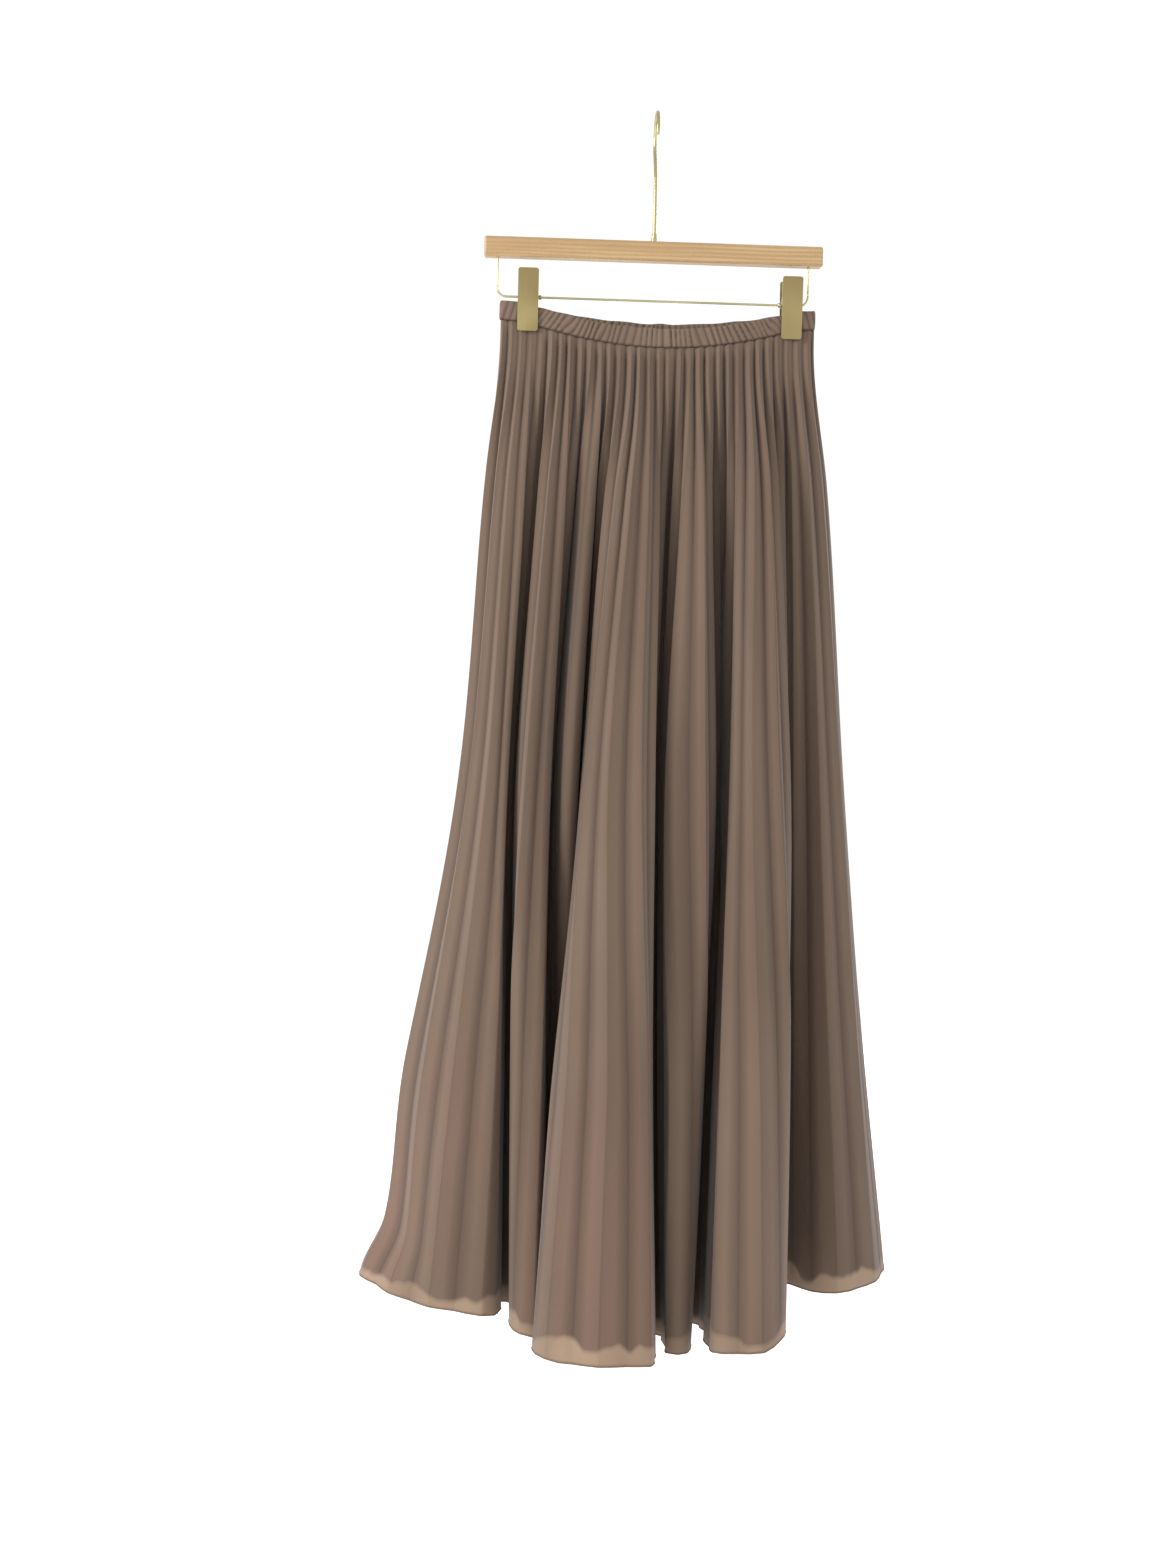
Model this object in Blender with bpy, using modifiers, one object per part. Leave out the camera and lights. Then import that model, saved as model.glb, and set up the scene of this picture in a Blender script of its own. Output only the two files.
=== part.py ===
"""Long sunray-pleated skirt held by two clips on a wooden trouser and skirt hanger.

Metres, +Z up. The origin is the inner top of the hook, where a rail bears. The skirt's front
faces -Y and its left side, as seen from the front, is -X. Sizes below are in millimetres and
are turned to metres by MM.
"""

import functools
import math

import bmesh
import bpy
import numpy as np
from mathutils import Matrix, Vector

MM = 0.001
SEAM_GAP = 0.3

# Hanger: a wooden bar, a wire hook in the front-to-back plane and a U of thinner wire
BAR_LENGTH = 356.0
BAR_HEIGHT = 21.0
BAR_DEPTH = 14.5
BAR_TOP_Z = -133.5
BAR_EDGE_RADIUS = 1.8
HOOK_WIRE_RADIUS = 2.0
HOOK_INNER_RADIUS = 22.0
HOOK_TIP_ANGLE = 195.0
HOOK_LEAVING_ANGLE = -48.0
HOOK_STEM_TOP_Z = -66.0
HOOK_FERRULE_RADIUS = 3.4
HOOK_FERRULE_HEIGHT = 9.0
RAIL_WIRE_RADIUS = 1.2
RAIL_WIRE_HALF_SPAN = 163.5
RAIL_WIRE_Z = -195.3
RAIL_WIRE_CORNER_RADIUS = 9.0

# Clips: two flat jaws on the wire, with a sprung sleeve between their lugs
CLIP_X = {"left": -131.0, "right": 146.0}
CLIP_WIDTH = 21.5
CLIP_HEIGHT = 65.0
CLIP_TOP_Z = -167.0
JAW_THICKNESS = 1.8
JAW_CORNER_RADIUS = 2.5
JAW_GRIP_Y = 5.3
JAW_TOP_Y = 10.4
LUG_RADIUS = 4.2
LUG_THICKNESS = 1.2
FRONT_LUG_X = 9.9
BACK_LUG_X = 8.2
WIRE_CLEARANCE = 0.3
SPRING_RADIUS = 3.0
SPRING_HALF_LENGTH = 6.8
COLLAR_RADIUS = 2.5
COLLAR_LENGTH = 3.6

# Waist: an elastic casing whose ends are pinched flat and whose middle hangs between the clips
WAIST_CENTRE_X = 6.0
WAIST_HALF_WIDTH = 165.0
WAIST_HALF_DEPTH = 5.5
WAIST_OPEN_DEPTH = 9.5
WAIST_CLIPPED_DEPTH = 3.4
CLIPPED_HALF_WIDTH = 20.0
BAND_TOP_AT_CLIPS_Z = -203.0
BAND_HEIGHT = 20.0
BAND_THICKNESS = 2.2
BAND_GATHERS = 80
GATHER_HEIGHT = 0.9
FRONT_SAG = 23.0
BACK_SAG = 14.0
END_RISE = 3.0

# Skirt: pleats that widen evenly from the waist to the hem
SKIRT_LENGTH = 1035.0
# Measured between vertices, so that the wall is 1.0 or more square to the steepest faces
CLOTH_THICKNESS = 1.3
PLEATS_PER_PANEL = 32
FACE_AT_WAIST = 6.8
FACE_AT_HEM = 27.6
LEAST_PLEAT_DEPTH = 3.0
CLIPPED_PLEAT_SHARE = 0.3
CLIPPED_LENGTH = 40.0
PANEL_ROWS = (0, 18, 60, 100, 150, 215, 295, 390, 500, 610, 720, 820, 910, 980, 1035)

# Lining: a plain inner wall that follows the large folds and ends above the hem
LINING_SHORTER = 20.0
LINING_HALF_DEPTH = 1.1
LINING_LEAST_DEPTH = 2.2
LINING_BEHIND_BAND = 4.0
LINING_NARROWER = 12.0
LINING_INSIDE_SIDES = 14.0
LINING_FREE_LENGTH = 60.0
LINING_COLUMNS = 2
LINING_BESIDE_FEET = 7.0
LINING_NARROW_FOOT = "inner_valley"
# Clear of the valleys' feet at the six levels below
LINING_CLEARANCES = (2.3, 2.4, 4.0, 6.0, 8.0, 7.5)
LINING_BELLY_SHARE = 0.4
LINING_BELLIES = (
    "left_flute",
    "main_flute",
    "right_flute",
    "side_flute",
    "right_back_flute",
    "first_back_flute",
    "second_back_flute",
    "third_back_flute",
    "fourth_back_flute",
    "fifth_back_flute",
    "left_back_flute",
)
LINING_ROWS = (0, 18, 60, 100, 150, 215, 390, 610, 720, 820, 910, SKIRT_LENGTH - LINING_SHORTER)

# Folds are set out at six levels, by the distance down the cloth from the waist seam.
# The second is just under the clips, where the cloth is still flat.
LEVELS = (0.0, 18.0, 165.0, 480.0, 800.0, SKIRT_LENGTH)
HIP_SHARE_OF_KNEE_DEPTH = 0.42
HIP_SHARE_OF_KNEE_HALF_WIDTH = 0.8
CALF_SHARE_OF_HEM_DEPTH = 0.62
SAMPLES_PER_FOLD = 12

# Columns: name, x of its middle at hip, knee, calf and hem, half width at knee and at hem,
# y at knee and at hem. A fold's edge or middle that is one place has no width.
FRONT_FOLDS = (
    ("left_flute", -156, -166, -191, -206, 0, 0, -25, -38),
    ("left_flute_edge", -145, -145, -142, -140, 0, 0, -30, -48),
    ("first_valley", -136, -134, -131, -127, 4, 7, 6, 24),
    ("narrow_flute", -118, -114, -110, -107, 12, 14, -38, -66),
    ("second_valley", -98, -93, -88, -84, 4, 8, 10, 36),
    ("inner_flute", -79, -79, -76, -71, 6, 4, -34, 30),
    ("inner_valley", -60, -63, -63, -59, 3, 3, 2, 4),
    ("main_flute_left", -48, -61, -88, -103, 0, 0, -55, -112),
    ("main_flute", -24, -41, -55, -62, 0, 0, -72, -145),
    ("main_flute_right", 5, 4, 6, 14, 0, 0, -62, -132),
    ("third_valley", 14, 16, 20, 27, 4, 6, -6, -4),
    ("shaded_flute", 50, 47, 46, 47, 19, 9, -49, -82),
    ("fourth_valley", 92, 83, 75, 68, 4, 7, 8, 24),
    ("right_flute_left", 103, 96, 87, 82, 0, 0, -52, -105),
    ("right_flute", 121, 121, 116, 112, 0, 0, -60, -118),
    ("right_flute_edge", 140, 146, 148, 148, 0, 0, -50, -98),
    ("fifth_valley", 150, 159, 166, 169, 4, 9, 8, 64),
    ("side_flute_left", 161, 175, 190, 200, 0, 0, 2, 32),
    ("side_flute", 176, 196, 222, 240, 0, 0, 0, 30),
)
RIGHT_SIDE = ("right_side", 191, 220, 256, 287, 0, 0, 36, 90)
BACK_FOLDS = (
    ("right_back_flute", 168, 192, 226, 254, 0, 0, 74, 160),
    ("right_back_edge", 153, 169, 197, 218, 0, 0, 80, 170),
    ("first_back_valley", 143, 157, 181, 201, 4, 7, 34, 88),
    ("first_back_flute", 119, 129, 146, 162, 13, 22, 78, 172),
    ("second_back_valley", 95, 101, 112, 124, 4, 7, 30, 80),
    ("second_back_flute", 69, 72, 80, 90, 17, 21, 77, 176),
    ("third_back_valley", 42, 43, 48, 54, 4, 7, 28, 76),
    ("third_back_flute", 16, 15, 15, 16, 18, 24, 75, 175),
    ("fourth_back_valley", -11, -13, -18, -23, 4, 7, 28, 80),
    ("fourth_back_flute", -38, -43, -51, -59, 18, 22, 73, 173),
    ("fifth_back_valley", -66, -73, -84, -97, 4, 7, 30, 82),
    ("fifth_back_flute", -89, -99, -117, -135, 16, 24, 72, 168),
    ("sixth_back_valley", -112, -126, -151, -174, 4, 7, 32, 86),
    ("left_back_edge", -123, -138, -168, -190, 0, 0, 64, 155),
    ("left_back_flute", -150, -172, -210, -240, 0, 0, 62, 142),
)
LEFT_SIDE = ("left_side", -170, -190, -243, -286, 0, 0, 22, 52)

# Colours of the parts: red, green, blue, roughness and metallic
MATERIALS = {
    "chiffon": (0.17, 0.115, 0.085, 0.85, 0.0),
    "lining_cloth": (0.14, 0.095, 0.07, 0.85, 0.0),
    "bare_beech": (0.62, 0.38, 0.17, 0.5, 0.0),
    "pale_brass": (0.62, 0.56, 0.34, 0.3, 1.0),
    "satin_brass": (0.42, 0.36, 0.16, 0.4, 1.0),
}


def clear_scene():
    for obj in list(bpy.data.objects):
        bpy.data.objects.remove(obj, do_unlink=True)


def new_collection(name):
    collection = bpy.data.collections.new(name)
    bpy.context.scene.collection.children.link(collection)
    return collection


def new_material(name):
    red, green, blue, roughness, metallic = MATERIALS[name]
    material = bpy.data.materials.new(name)
    material.use_nodes = True
    shader = material.node_tree.nodes["Principled BSDF"]
    shader.inputs["Base Color"].default_value = (red, green, blue, 1.0)
    shader.inputs["Roughness"].default_value = roughness
    shader.inputs["Metallic"].default_value = metallic
    return material


def add_object(name, data, collection, material=None):
    obj = bpy.data.objects.new(name, data)
    collection.objects.link(obj)
    if material:
        data.materials.append(material)
    return obj


# Curves through a few named places


def curve_through(knots, values, places):
    """Smooth curve that passes through values at knots, read at places."""
    knots = np.asarray(knots, float)
    values = np.asarray(values, float)
    gaps = np.diff(knots)[:, None]
    slopes = np.diff(values, axis=0) / gaps
    inner = (slopes[:-1] * gaps[1:] + slopes[1:] * gaps[:-1]) / (gaps[1:] + gaps[:-1])
    tangents = np.vstack([slopes[:1], inner, slopes[-1:]])
    index = np.clip(np.searchsorted(knots, places, side="right") - 1, 0, len(knots) - 2)
    gap = gaps[index]
    part = (np.asarray(places, float)[:, None] - knots[index][:, None]) / gap
    start, end = values[index], values[index + 1]
    leave, arrive = tangents[index] * gap, tangents[index + 1] * gap
    return (
        (2 * part**3 - 3 * part**2 + 1) * start
        + (part**3 - 2 * part**2 + part) * leave
        + (3 * part**2 - 2 * part**3) * end
        + (part**3 - part**2) * arrive
    )


def from_clips(x):
    """0 midway between the clips, 1 at a clip."""
    middle = (CLIP_X["left"] + CLIP_X["right"]) / 2
    half = (CLIP_X["right"] - CLIP_X["left"]) / 2
    return np.abs(np.asarray(x, float) - middle) / half


def near_clip(x):
    """1 under a clip, falling to 0 beside it."""
    x = np.asarray(x, float)
    return sum(np.exp(-(((x - place) / CLIPPED_HALF_WIDTH) ** 4)) for place in CLIP_X.values())


def waist_half_depth(x):
    opening = (WAIST_OPEN_DEPTH - WAIST_HALF_DEPTH) * np.clip(1 - from_clips(x) ** 2, 0, 1)
    free = WAIST_HALF_DEPTH + opening
    return free + (WAIST_CLIPPED_DEPTH - free) * near_clip(x)


def band_top_z(x, side):
    """Top edge of the waistband. side is -1 at the front and 1 at the back."""
    away = from_clips(x)
    sag = (FRONT_SAG if side < 0 else BACK_SAG) * np.clip(1 - away**2, 0, 1)
    rise = END_RISE * np.clip((away - 1) / 0.2, 0, 1)
    return BAND_TOP_AT_CLIPS_Z - sag + rise


def waist_place(x_hip, side):
    """x and y on the waist line of what hangs at x_hip at the hip."""
    hip_centre = (LEFT_SIDE[1] + RIGHT_SIDE[1]) / 2
    share = WAIST_HALF_WIDTH / ((RIGHT_SIDE[1] - LEFT_SIDE[1]) / 2)
    waist = WAIST_CENTRE_X + (x_hip - hip_centre) * share
    return waist, side * float(waist_half_depth(waist))


@functools.cache
def fold_stations():
    """x and y of every fold, all the way round, at each level: left side, front, right side, back.
    Then the number of the right side's station.
    """
    x_levels, y_levels = [], []
    groups = (((LEFT_SIDE,), 0, 1), (FRONT_FOLDS, -1, 1), ((RIGHT_SIDE,), 0, 1), (BACK_FOLDS, 1, -1))
    for rows, side, heading in groups:
        for row in rows:
            _, x_hip, x_knee, x_calf, x_hem, half_knee, half_hem, y_knee, y_hem = row
            half_hip = HIP_SHARE_OF_KNEE_HALF_WIDTH * half_knee
            half_calf = (half_knee + half_hem) / 2
            for edge in (-heading, heading) if half_knee or half_hem else (0,):
                hip = x_hip + edge * half_hip
                waist, y_waist = waist_place(hip, side)
                y_hip = y_waist + HIP_SHARE_OF_KNEE_DEPTH * y_knee
                y_calf = y_knee + CALF_SHARE_OF_HEM_DEPTH * (y_hem - y_knee)
                lower = (x_knee + edge * half_knee, x_calf + edge * half_calf, x_hem + edge * half_hem)
                x_levels.append((waist, waist, hip, *lower))
                y_levels.append((y_waist, y_waist, y_hip, y_knee, y_calf, y_hem))
        if rows is FRONT_FOLDS:
            last_front = len(x_levels)
    return np.array(x_levels), np.array(y_levels), last_front


def on_folds(down, steps):
    """Places on the smooth line of the large folds at one distance down the cloth, and its
    outward normals. A step counts the folds' stations, with fractions between them.
    """
    x_levels, y_levels, _ = fold_stations()
    x = curve_through(LEVELS, x_levels.T, [down])[0]
    y = curve_through(LEVELS, y_levels.T, [down])[0]
    places = np.stack([x, y], axis=1)
    ring = np.vstack([places[-2:], places, places[:3]])
    chords = np.linalg.norm(np.diff(ring, axis=0), axis=1)
    knots = np.concatenate([[0], np.cumsum(np.sqrt(chords))])
    read = np.interp(np.asarray(steps) + 2, np.arange(len(knots)), knots)
    nudge = 0.02
    along = curve_through(knots, ring, read + nudge) - curve_through(knots, ring, read - nudge)
    along /= np.linalg.norm(along, axis=1)[:, None]
    return curve_through(knots, ring, read), np.stack([along[:, 1], -along[:, 0]], axis=1)


def panel_stations(panel):
    """First and last station of the front or the back."""
    x_levels, _, last_front = fold_stations()
    return (0, last_front) if panel == "front" else (last_front, len(x_levels))


@functools.cache
def fold_line(down, panel):
    """Dense line of one panel's large folds: its steps, places, outward normals and reach."""
    first, last = panel_stations(panel)
    steps = np.linspace(first, last, (last - first) * SAMPLES_PER_FOLD + 1)
    line, normals = on_folds(down, steps)
    reach = np.concatenate([[0], np.cumsum(np.linalg.norm(np.diff(line, axis=0), axis=1))])
    return steps, line, normals, reach


def evenly_along(down, panel, shares):
    """Places, normals and steps at the given shares of the panel's width."""
    steps, line, normals, reach = fold_line(down, panel)
    wanted = np.asarray(shares) * reach[-1]
    places = np.stack([np.interp(wanted, reach, line[:, i]) for i in (0, 1)], axis=1)
    facing = np.stack([np.interp(wanted, reach, normals[:, i]) for i in (0, 1)], axis=1)
    facing /= np.linalg.norm(facing, axis=1)[:, None]
    return places, facing, np.interp(wanted, reach, steps)


def face_width(down):
    return FACE_AT_WAIST + (FACE_AT_HEM - FACE_AT_WAIST) * down / SKIRT_LENGTH


FACES = 2 * PLEATS_PER_PANEL
CREASE_SHARES = (np.arange(FACES) + 0.5) / FACES
CREASE_SIDE = np.repeat([-1.0, 1.0], FACES)


def pleat_half_height(down, panel, x):
    """How far a crease stands off the line of the large folds. Pleats are pressed flat by a clip."""
    step = fold_line(down, panel)[3][-1] / FACES
    depth = math.sqrt(max(face_width(down) ** 2 - step**2, LEAST_PLEAT_DEPTH**2))
    clipped = near_clip(x) * np.clip(2 - down / CLIPPED_LENGTH, 0, 1)
    return depth / 2 * (1 - (1 - CLIPPED_PLEAT_SHARE) * clipped)


def pleated_ring(down):
    """x and y of every crease, ridges and valleys by turns, all the way round."""
    halves = []
    for panel in ("front", "back"):
        places, facing, _ = evenly_along(down, panel, CREASE_SHARES)
        height = pleat_half_height(down, panel, places[:, 0])
        height = np.where(np.arange(FACES) % 2 == 0, height, -height)
        halves.append(places + facing * height[:, None])
    return np.concatenate(halves)


def hang(rings, rows, side):
    """Drops the rings by the cloth's own length between them, so that no fold stretches it."""
    front = band_top_z(rings[0][:, 0], -1)
    back = band_top_z(rings[0][:, 0], 1)
    z = np.where(side < 0, front, back) - BAND_HEIGHT - SEAM_GAP
    points = [np.column_stack([rings[0], z])]
    for upper, lower, above, below in zip(rings, rings[1:], rows, rows[1:]):
        sideways = np.linalg.norm(lower - upper, axis=1)
        z = z - np.sqrt((below - above) ** 2 - np.minimum(sideways, 0.9 * (below - above)) ** 2)
        points.append(np.column_stack([lower, z]))
    return np.array(points)


def cut_at_seams(points, first, last):
    """The ring's columns from first to last. Each side seam lies halfway to the next column."""
    own_columns = points[:, first : last + 1]
    before = points[:, first - 1]
    after = points[:, (last + 1) % points.shape[1]]
    ends = []
    for own, other in ((own_columns[:, 0], before), (own_columns[:, -1], after)):
        middle = (own + other) / 2
        towards = (own - other) / np.linalg.norm(own - other, axis=1)[:, None]
        ends.append(middle + towards * SEAM_GAP / 2)
    return np.concatenate([ends[0][:, None], own_columns, ends[1][:, None]], axis=1)


# Solids


def loft(name, points, collection, material, thickness, closed=False):
    """Wall through rows of points, top row first. A closed one joins its last column to its first."""
    mesh = bmesh.new()
    grid = [[mesh.verts.new(Vector(place) * MM) for place in row] for row in points]
    columns = len(grid[0])
    for upper, lower in zip(grid, grid[1:]):
        for i in range(columns if closed else columns - 1):
            j = (i + 1) % columns
            mesh.faces.new((upper[i], lower[i], lower[j], upper[j]))
    data = bpy.data.meshes.new(name)
    mesh.to_mesh(data)
    mesh.free()
    obj = add_object(name, data, collection, material)
    wall = obj.modifiers.new("wall", "SOLIDIFY")
    wall.thickness = thickness * MM
    wall.offset = 0.0
    return obj


def skirt_panel(panel, collection, material):
    points = hang([pleated_ring(down) for down in PANEL_ROWS], PANEL_ROWS, CREASE_SIDE)
    first = 0 if panel == "front" else FACES
    columns = cut_at_seams(points, first, first + FACES - 1)
    return loft(f"skirt_{panel}", columns, collection, material, CLOTH_THICKNESS)


@functools.cache
def lining_stations():
    """x and y at each level of the corners of the plain lining, and what each is: -1 or 1 for a
    valley's foot at the front or back, -2 or 2 for a belly there, 0 for the two ends.
    """
    x_levels, y_levels, kinds = [], [], []
    groups = (((LEFT_SIDE,), 0), (FRONT_FOLDS, -1), ((RIGHT_SIDE,), 0), (BACK_FOLDS, 1))
    for rows, side in groups:
        for row in rows:
            name, x_hip, x_knee, x_calf, x_hem, half_knee, half_hem, y_knee, y_hem = row
            if side and "valley" not in name and name not in LINING_BELLIES:
                continue
            waist, y_waist = waist_place(x_hip, side)
            y_hip = y_waist + HIP_SHARE_OF_KNEE_DEPTH * y_knee
            y_calf = y_knee + CALF_SHARE_OF_HEM_DEPTH * (y_hem - y_knee)
            x = np.array((waist, waist, x_hip, x_knee, x_calf, x_hem))
            widths = (half_knee, half_knee, half_knee, half_knee, (half_knee + half_hem) / 2, half_hem)
            beside = np.array(widths) + LINING_BESIDE_FEET
            if "valley" in name:
                before = 0 if name == LINING_NARROW_FOOT else 1
                edges = (side * beside * before, -side * beside)
            elif side:
                edges = (0 * beside,)
            else:
                edges = (0 * beside - math.copysign(LINING_INSIDE_SIDES, x_hip),)
            for edge in edges:
                x_levels.append(x + edge)
                y_levels.append(np.array((y_waist, y_waist, y_hip, y_knee, y_calf, y_hem)))
                kinds.append(side if "valley" in name else 2 * side)
    x_levels, y_levels, kinds = np.array(x_levels), np.array(y_levels), np.array(kinds)
    bellies = np.abs(kinds)[:, None] == 2
    x_between = (np.roll(x_levels, 1, axis=0) + np.roll(x_levels, -1, axis=0)) / 2
    y_between = (np.roll(y_levels, 1, axis=0) + np.roll(y_levels, -1, axis=0)) / 2
    y_belly = y_between + LINING_BELLY_SHARE * (y_levels - y_between)
    return np.where(bellies, x_between, x_levels), np.where(bellies, y_belly, y_levels), kinds


def lining_ring(down):
    """Plain inner ring: open a little at the waist, then hanging inside the large folds."""
    x_levels, y_levels, kinds = lining_stations()
    x = curve_through(LEVELS, x_levels.T, [down])[0]
    y = curve_through(LEVELS, y_levels.T, [down])[0]
    clear = curve_through(LEVELS, np.array(LINING_CLEARANCES)[:, None], [down])[0, 0]
    for panel, side in (("front", -1), ("back", 1)):
        own = np.sign(kinds) == side
        y[own] -= side * (clear + pleat_half_height(down, panel, x[own]))
    corners = np.arange(len(kinds) + 1)
    steps = np.arange(len(kinds) * LINING_COLUMNS) / LINING_COLUMNS
    x = np.interp(steps, corners, np.append(x, x[0]))
    y = np.interp(steps, corners, np.append(y, y[0]))
    flat_x = WAIST_CENTRE_X + (x - WAIST_CENTRE_X) * (1 - LINING_NARROWER / WAIST_HALF_WIDTH)
    half_depth = np.maximum(waist_half_depth(flat_x) - LINING_BEHIND_BAND, LINING_HALF_DEPTH)
    flat = np.stack([flat_x, lining_side() * half_depth], axis=1)
    ring = flat + (np.stack([x, y], axis=1) - flat) * min(down / LINING_FREE_LENGTH, 1.0)
    return kept_apart(ring, lining_side())


def kept_apart(ring, side):
    """The ring with its front and back eased away from each other where they would touch."""
    eased = ring.copy()
    for own, sign in ((side < 0, -1), (side > 0, 1)):
        other = ring[side == -sign]
        other = other[np.argsort(other[:, 0])]
        apart = sign * (ring[own, 1] - np.interp(ring[own, 0], other[:, 0], other[:, 1]))
        eased[own, 1] += sign * np.maximum(LINING_LEAST_DEPTH - apart, 0) / 2
    return eased


def lining_side():
    """-1 for each of the lining's front columns, 1 for the back's and 0 at its two ends."""
    kinds = lining_stations()[2]
    steps = np.arange(len(kinds) * LINING_COLUMNS) / LINING_COLUMNS
    right = np.flatnonzero(kinds == 0)[1]
    side = np.where(steps < right, -1.0, 1.0)
    return np.where((steps == 0) | (steps == right), 0.0, side)


def lining_panel(panel, collection, material):
    """Front or back of the lining. The front turns round both ends of the ring."""
    side = lining_side()
    points = hang([lining_ring(down) for down in LINING_ROWS], LINING_ROWS, side)
    right_end = int(np.flatnonzero(side == 0)[1])
    first, last = (0, right_end) if panel == "front" else (right_end + 1, len(side) - 1)
    columns = cut_at_seams(points, first, last)
    return loft(f"lining_{panel}", columns, collection, material, CLOTH_THICKNESS)


def waistband(collection, material):
    """Elastic casing: a ring whose outer points are gathered into small upright ribs."""
    halves = []
    for panel, side in (("front", -1), ("back", 1)):
        places, facing, _ = evenly_along(0.0, panel, np.arange(BAND_GATHERS) / BAND_GATHERS)
        rib = np.where(np.arange(BAND_GATHERS) % 2 == 0, GATHER_HEIGHT / 2, -GATHER_HEIGHT / 2)
        rib = rib * (1 - (1 - CLIPPED_PLEAT_SHARE) * near_clip(places[:, 0]))
        ring = places + facing * rib[:, None]
        top = band_top_z(ring[:, 0], side)
        rows = [np.column_stack([ring, top]), np.column_stack([ring, top - BAND_HEIGHT])]
        halves.append(np.array(rows))
    points = np.concatenate(halves, axis=1)
    return loft("waistband", points, collection, material, BAND_THICKNESS, closed=True)


def wire(name, points, radius, collection, material):
    curve = bpy.data.curves.new(name, "CURVE")
    curve.dimensions = "3D"
    curve.bevel_depth = radius * MM
    curve.bevel_resolution = 2
    curve.use_fill_caps = True
    spline = curve.splines.new("POLY")
    spline.points.add(len(points) - 1)
    for place, point in zip(points, spline.points):
        point.co = (*(Vector(place) * MM), 1.0)
    return add_object(name, curve, collection, material)


def arc(centre, radius, start, end, steps):
    """Points of an arc, as pairs, with angles in degrees."""
    angles = np.radians(np.linspace(start, end, steps))
    return [(centre[0] + radius * math.cos(a), centre[1] + radius * math.sin(a)) for a in angles]


def hook(collection, material):
    """Round hook in the front-to-back plane, its mouth at the front, on a straight stem."""
    radius = HOOK_INNER_RADIUS + HOOK_WIRE_RADIUS
    bend = arc((0, -HOOK_INNER_RADIUS), radius, HOOK_TIP_ANGLE, HOOK_LEAVING_ANGLE, 24)
    leave_y, leave_z = bend[-1]
    stem_top = (0.0, HOOK_STEM_TOP_Z)
    knots = (0.0, 1.0, 2.0, 3.0)
    through = (bend[-2], bend[-1], stem_top, (0.0, HOOK_STEM_TOP_Z - (leave_z - HOOK_STEM_TOP_Z)))
    turn = curve_through(knots, through, np.linspace(1.2, 2.0, 5))
    foot = (0.0, BAR_TOP_Z + SEAM_GAP)
    path = bend + [tuple(place) for place in turn] + [foot]
    return wire("hook", [(0, y, z) for y, z in path], HOOK_WIRE_RADIUS, collection, material)


def ferrule(collection, material):
    """Small flared ring where the stem goes into the bar."""
    inner = HOOK_WIRE_RADIUS + WIRE_CLEARANCE
    top = HOOK_FERRULE_HEIGHT
    outline = ((inner + 0.5, top), (HOOK_FERRULE_RADIUS, SEAM_GAP), (inner, SEAM_GAP), (inner, top))
    return turned("hook_ferrule", outline, (0, 0, BAR_TOP_Z), (0, 0, 1), collection, material)


def turned(name, outline, centre, axis, collection, material):
    """Ring turned from a closed outline of (radius, height) pairs, which runs down its outer side."""
    mesh = bmesh.new()
    corners = [mesh.verts.new((radius * MM, 0, height * MM)) for radius, height in outline]
    for here, there in zip(corners, corners[1:] + corners[:1]):
        mesh.edges.new((here, there))
    data = bpy.data.meshes.new(name)
    mesh.to_mesh(data)
    mesh.free()
    obj = add_object(name, data, collection, material)
    obj.location = Vector(centre) * MM
    obj.rotation_euler = Vector((0, 0, 1)).rotation_difference(Vector(axis)).to_euler()
    screw = obj.modifiers.new("turn", "SCREW")
    screw.steps = screw.render_steps = 20
    screw.use_merge_vertices = True
    screw.merge_threshold = 0.00001
    return obj


def bar(collection, material):
    mesh = bmesh.new()
    bmesh.ops.create_cube(mesh, size=1.0)
    size = Matrix.Diagonal((BAR_LENGTH * MM, BAR_DEPTH * MM, BAR_HEIGHT * MM, 1.0))
    bmesh.ops.transform(mesh, matrix=size, verts=mesh.verts)
    data = bpy.data.meshes.new("hanger_bar")
    mesh.to_mesh(data)
    mesh.free()
    obj = add_object("hanger_bar", data, collection, material)
    obj.location = (0, 0, (BAR_TOP_Z - BAR_HEIGHT / 2) * MM)
    bevel = obj.modifiers.new("eased edges", "BEVEL")
    bevel.width = BAR_EDGE_RADIUS * MM
    bevel.segments = 3
    return obj


def rail_wire(collection, material):
    """U of wire whose ends go up into the bar. The clips hang on its level run."""
    corner = RAIL_WIRE_CORNER_RADIUS
    inner = RAIL_WIRE_HALF_SPAN - corner
    leg_top = BAR_TOP_Z - BAR_HEIGHT - SEAM_GAP
    left = arc((-inner, RAIL_WIRE_Z + corner), corner, 180, 270, 7)
    right = arc((inner, RAIL_WIRE_Z + corner), corner, 270, 360, 7)
    path = [(-RAIL_WIRE_HALF_SPAN, leg_top)] + left + right + [(RAIL_WIRE_HALF_SPAN, leg_top)]
    points = [(x, 0, z) for x, z in path]
    return wire("rail_wire", points, RAIL_WIRE_RADIUS, collection, material)


def box_into(mesh, low, high):
    """Adds a box between two corners to the bmesh."""
    low, high = Vector(low) * MM, Vector(high) * MM
    made = bmesh.ops.create_cube(mesh, size=1.0)["verts"]
    size = Matrix.Diagonal((*(high - low), 1.0))
    bmesh.ops.transform(mesh, matrix=Matrix.Translation((low + high) / 2) @ size, verts=made)
    return made


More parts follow.
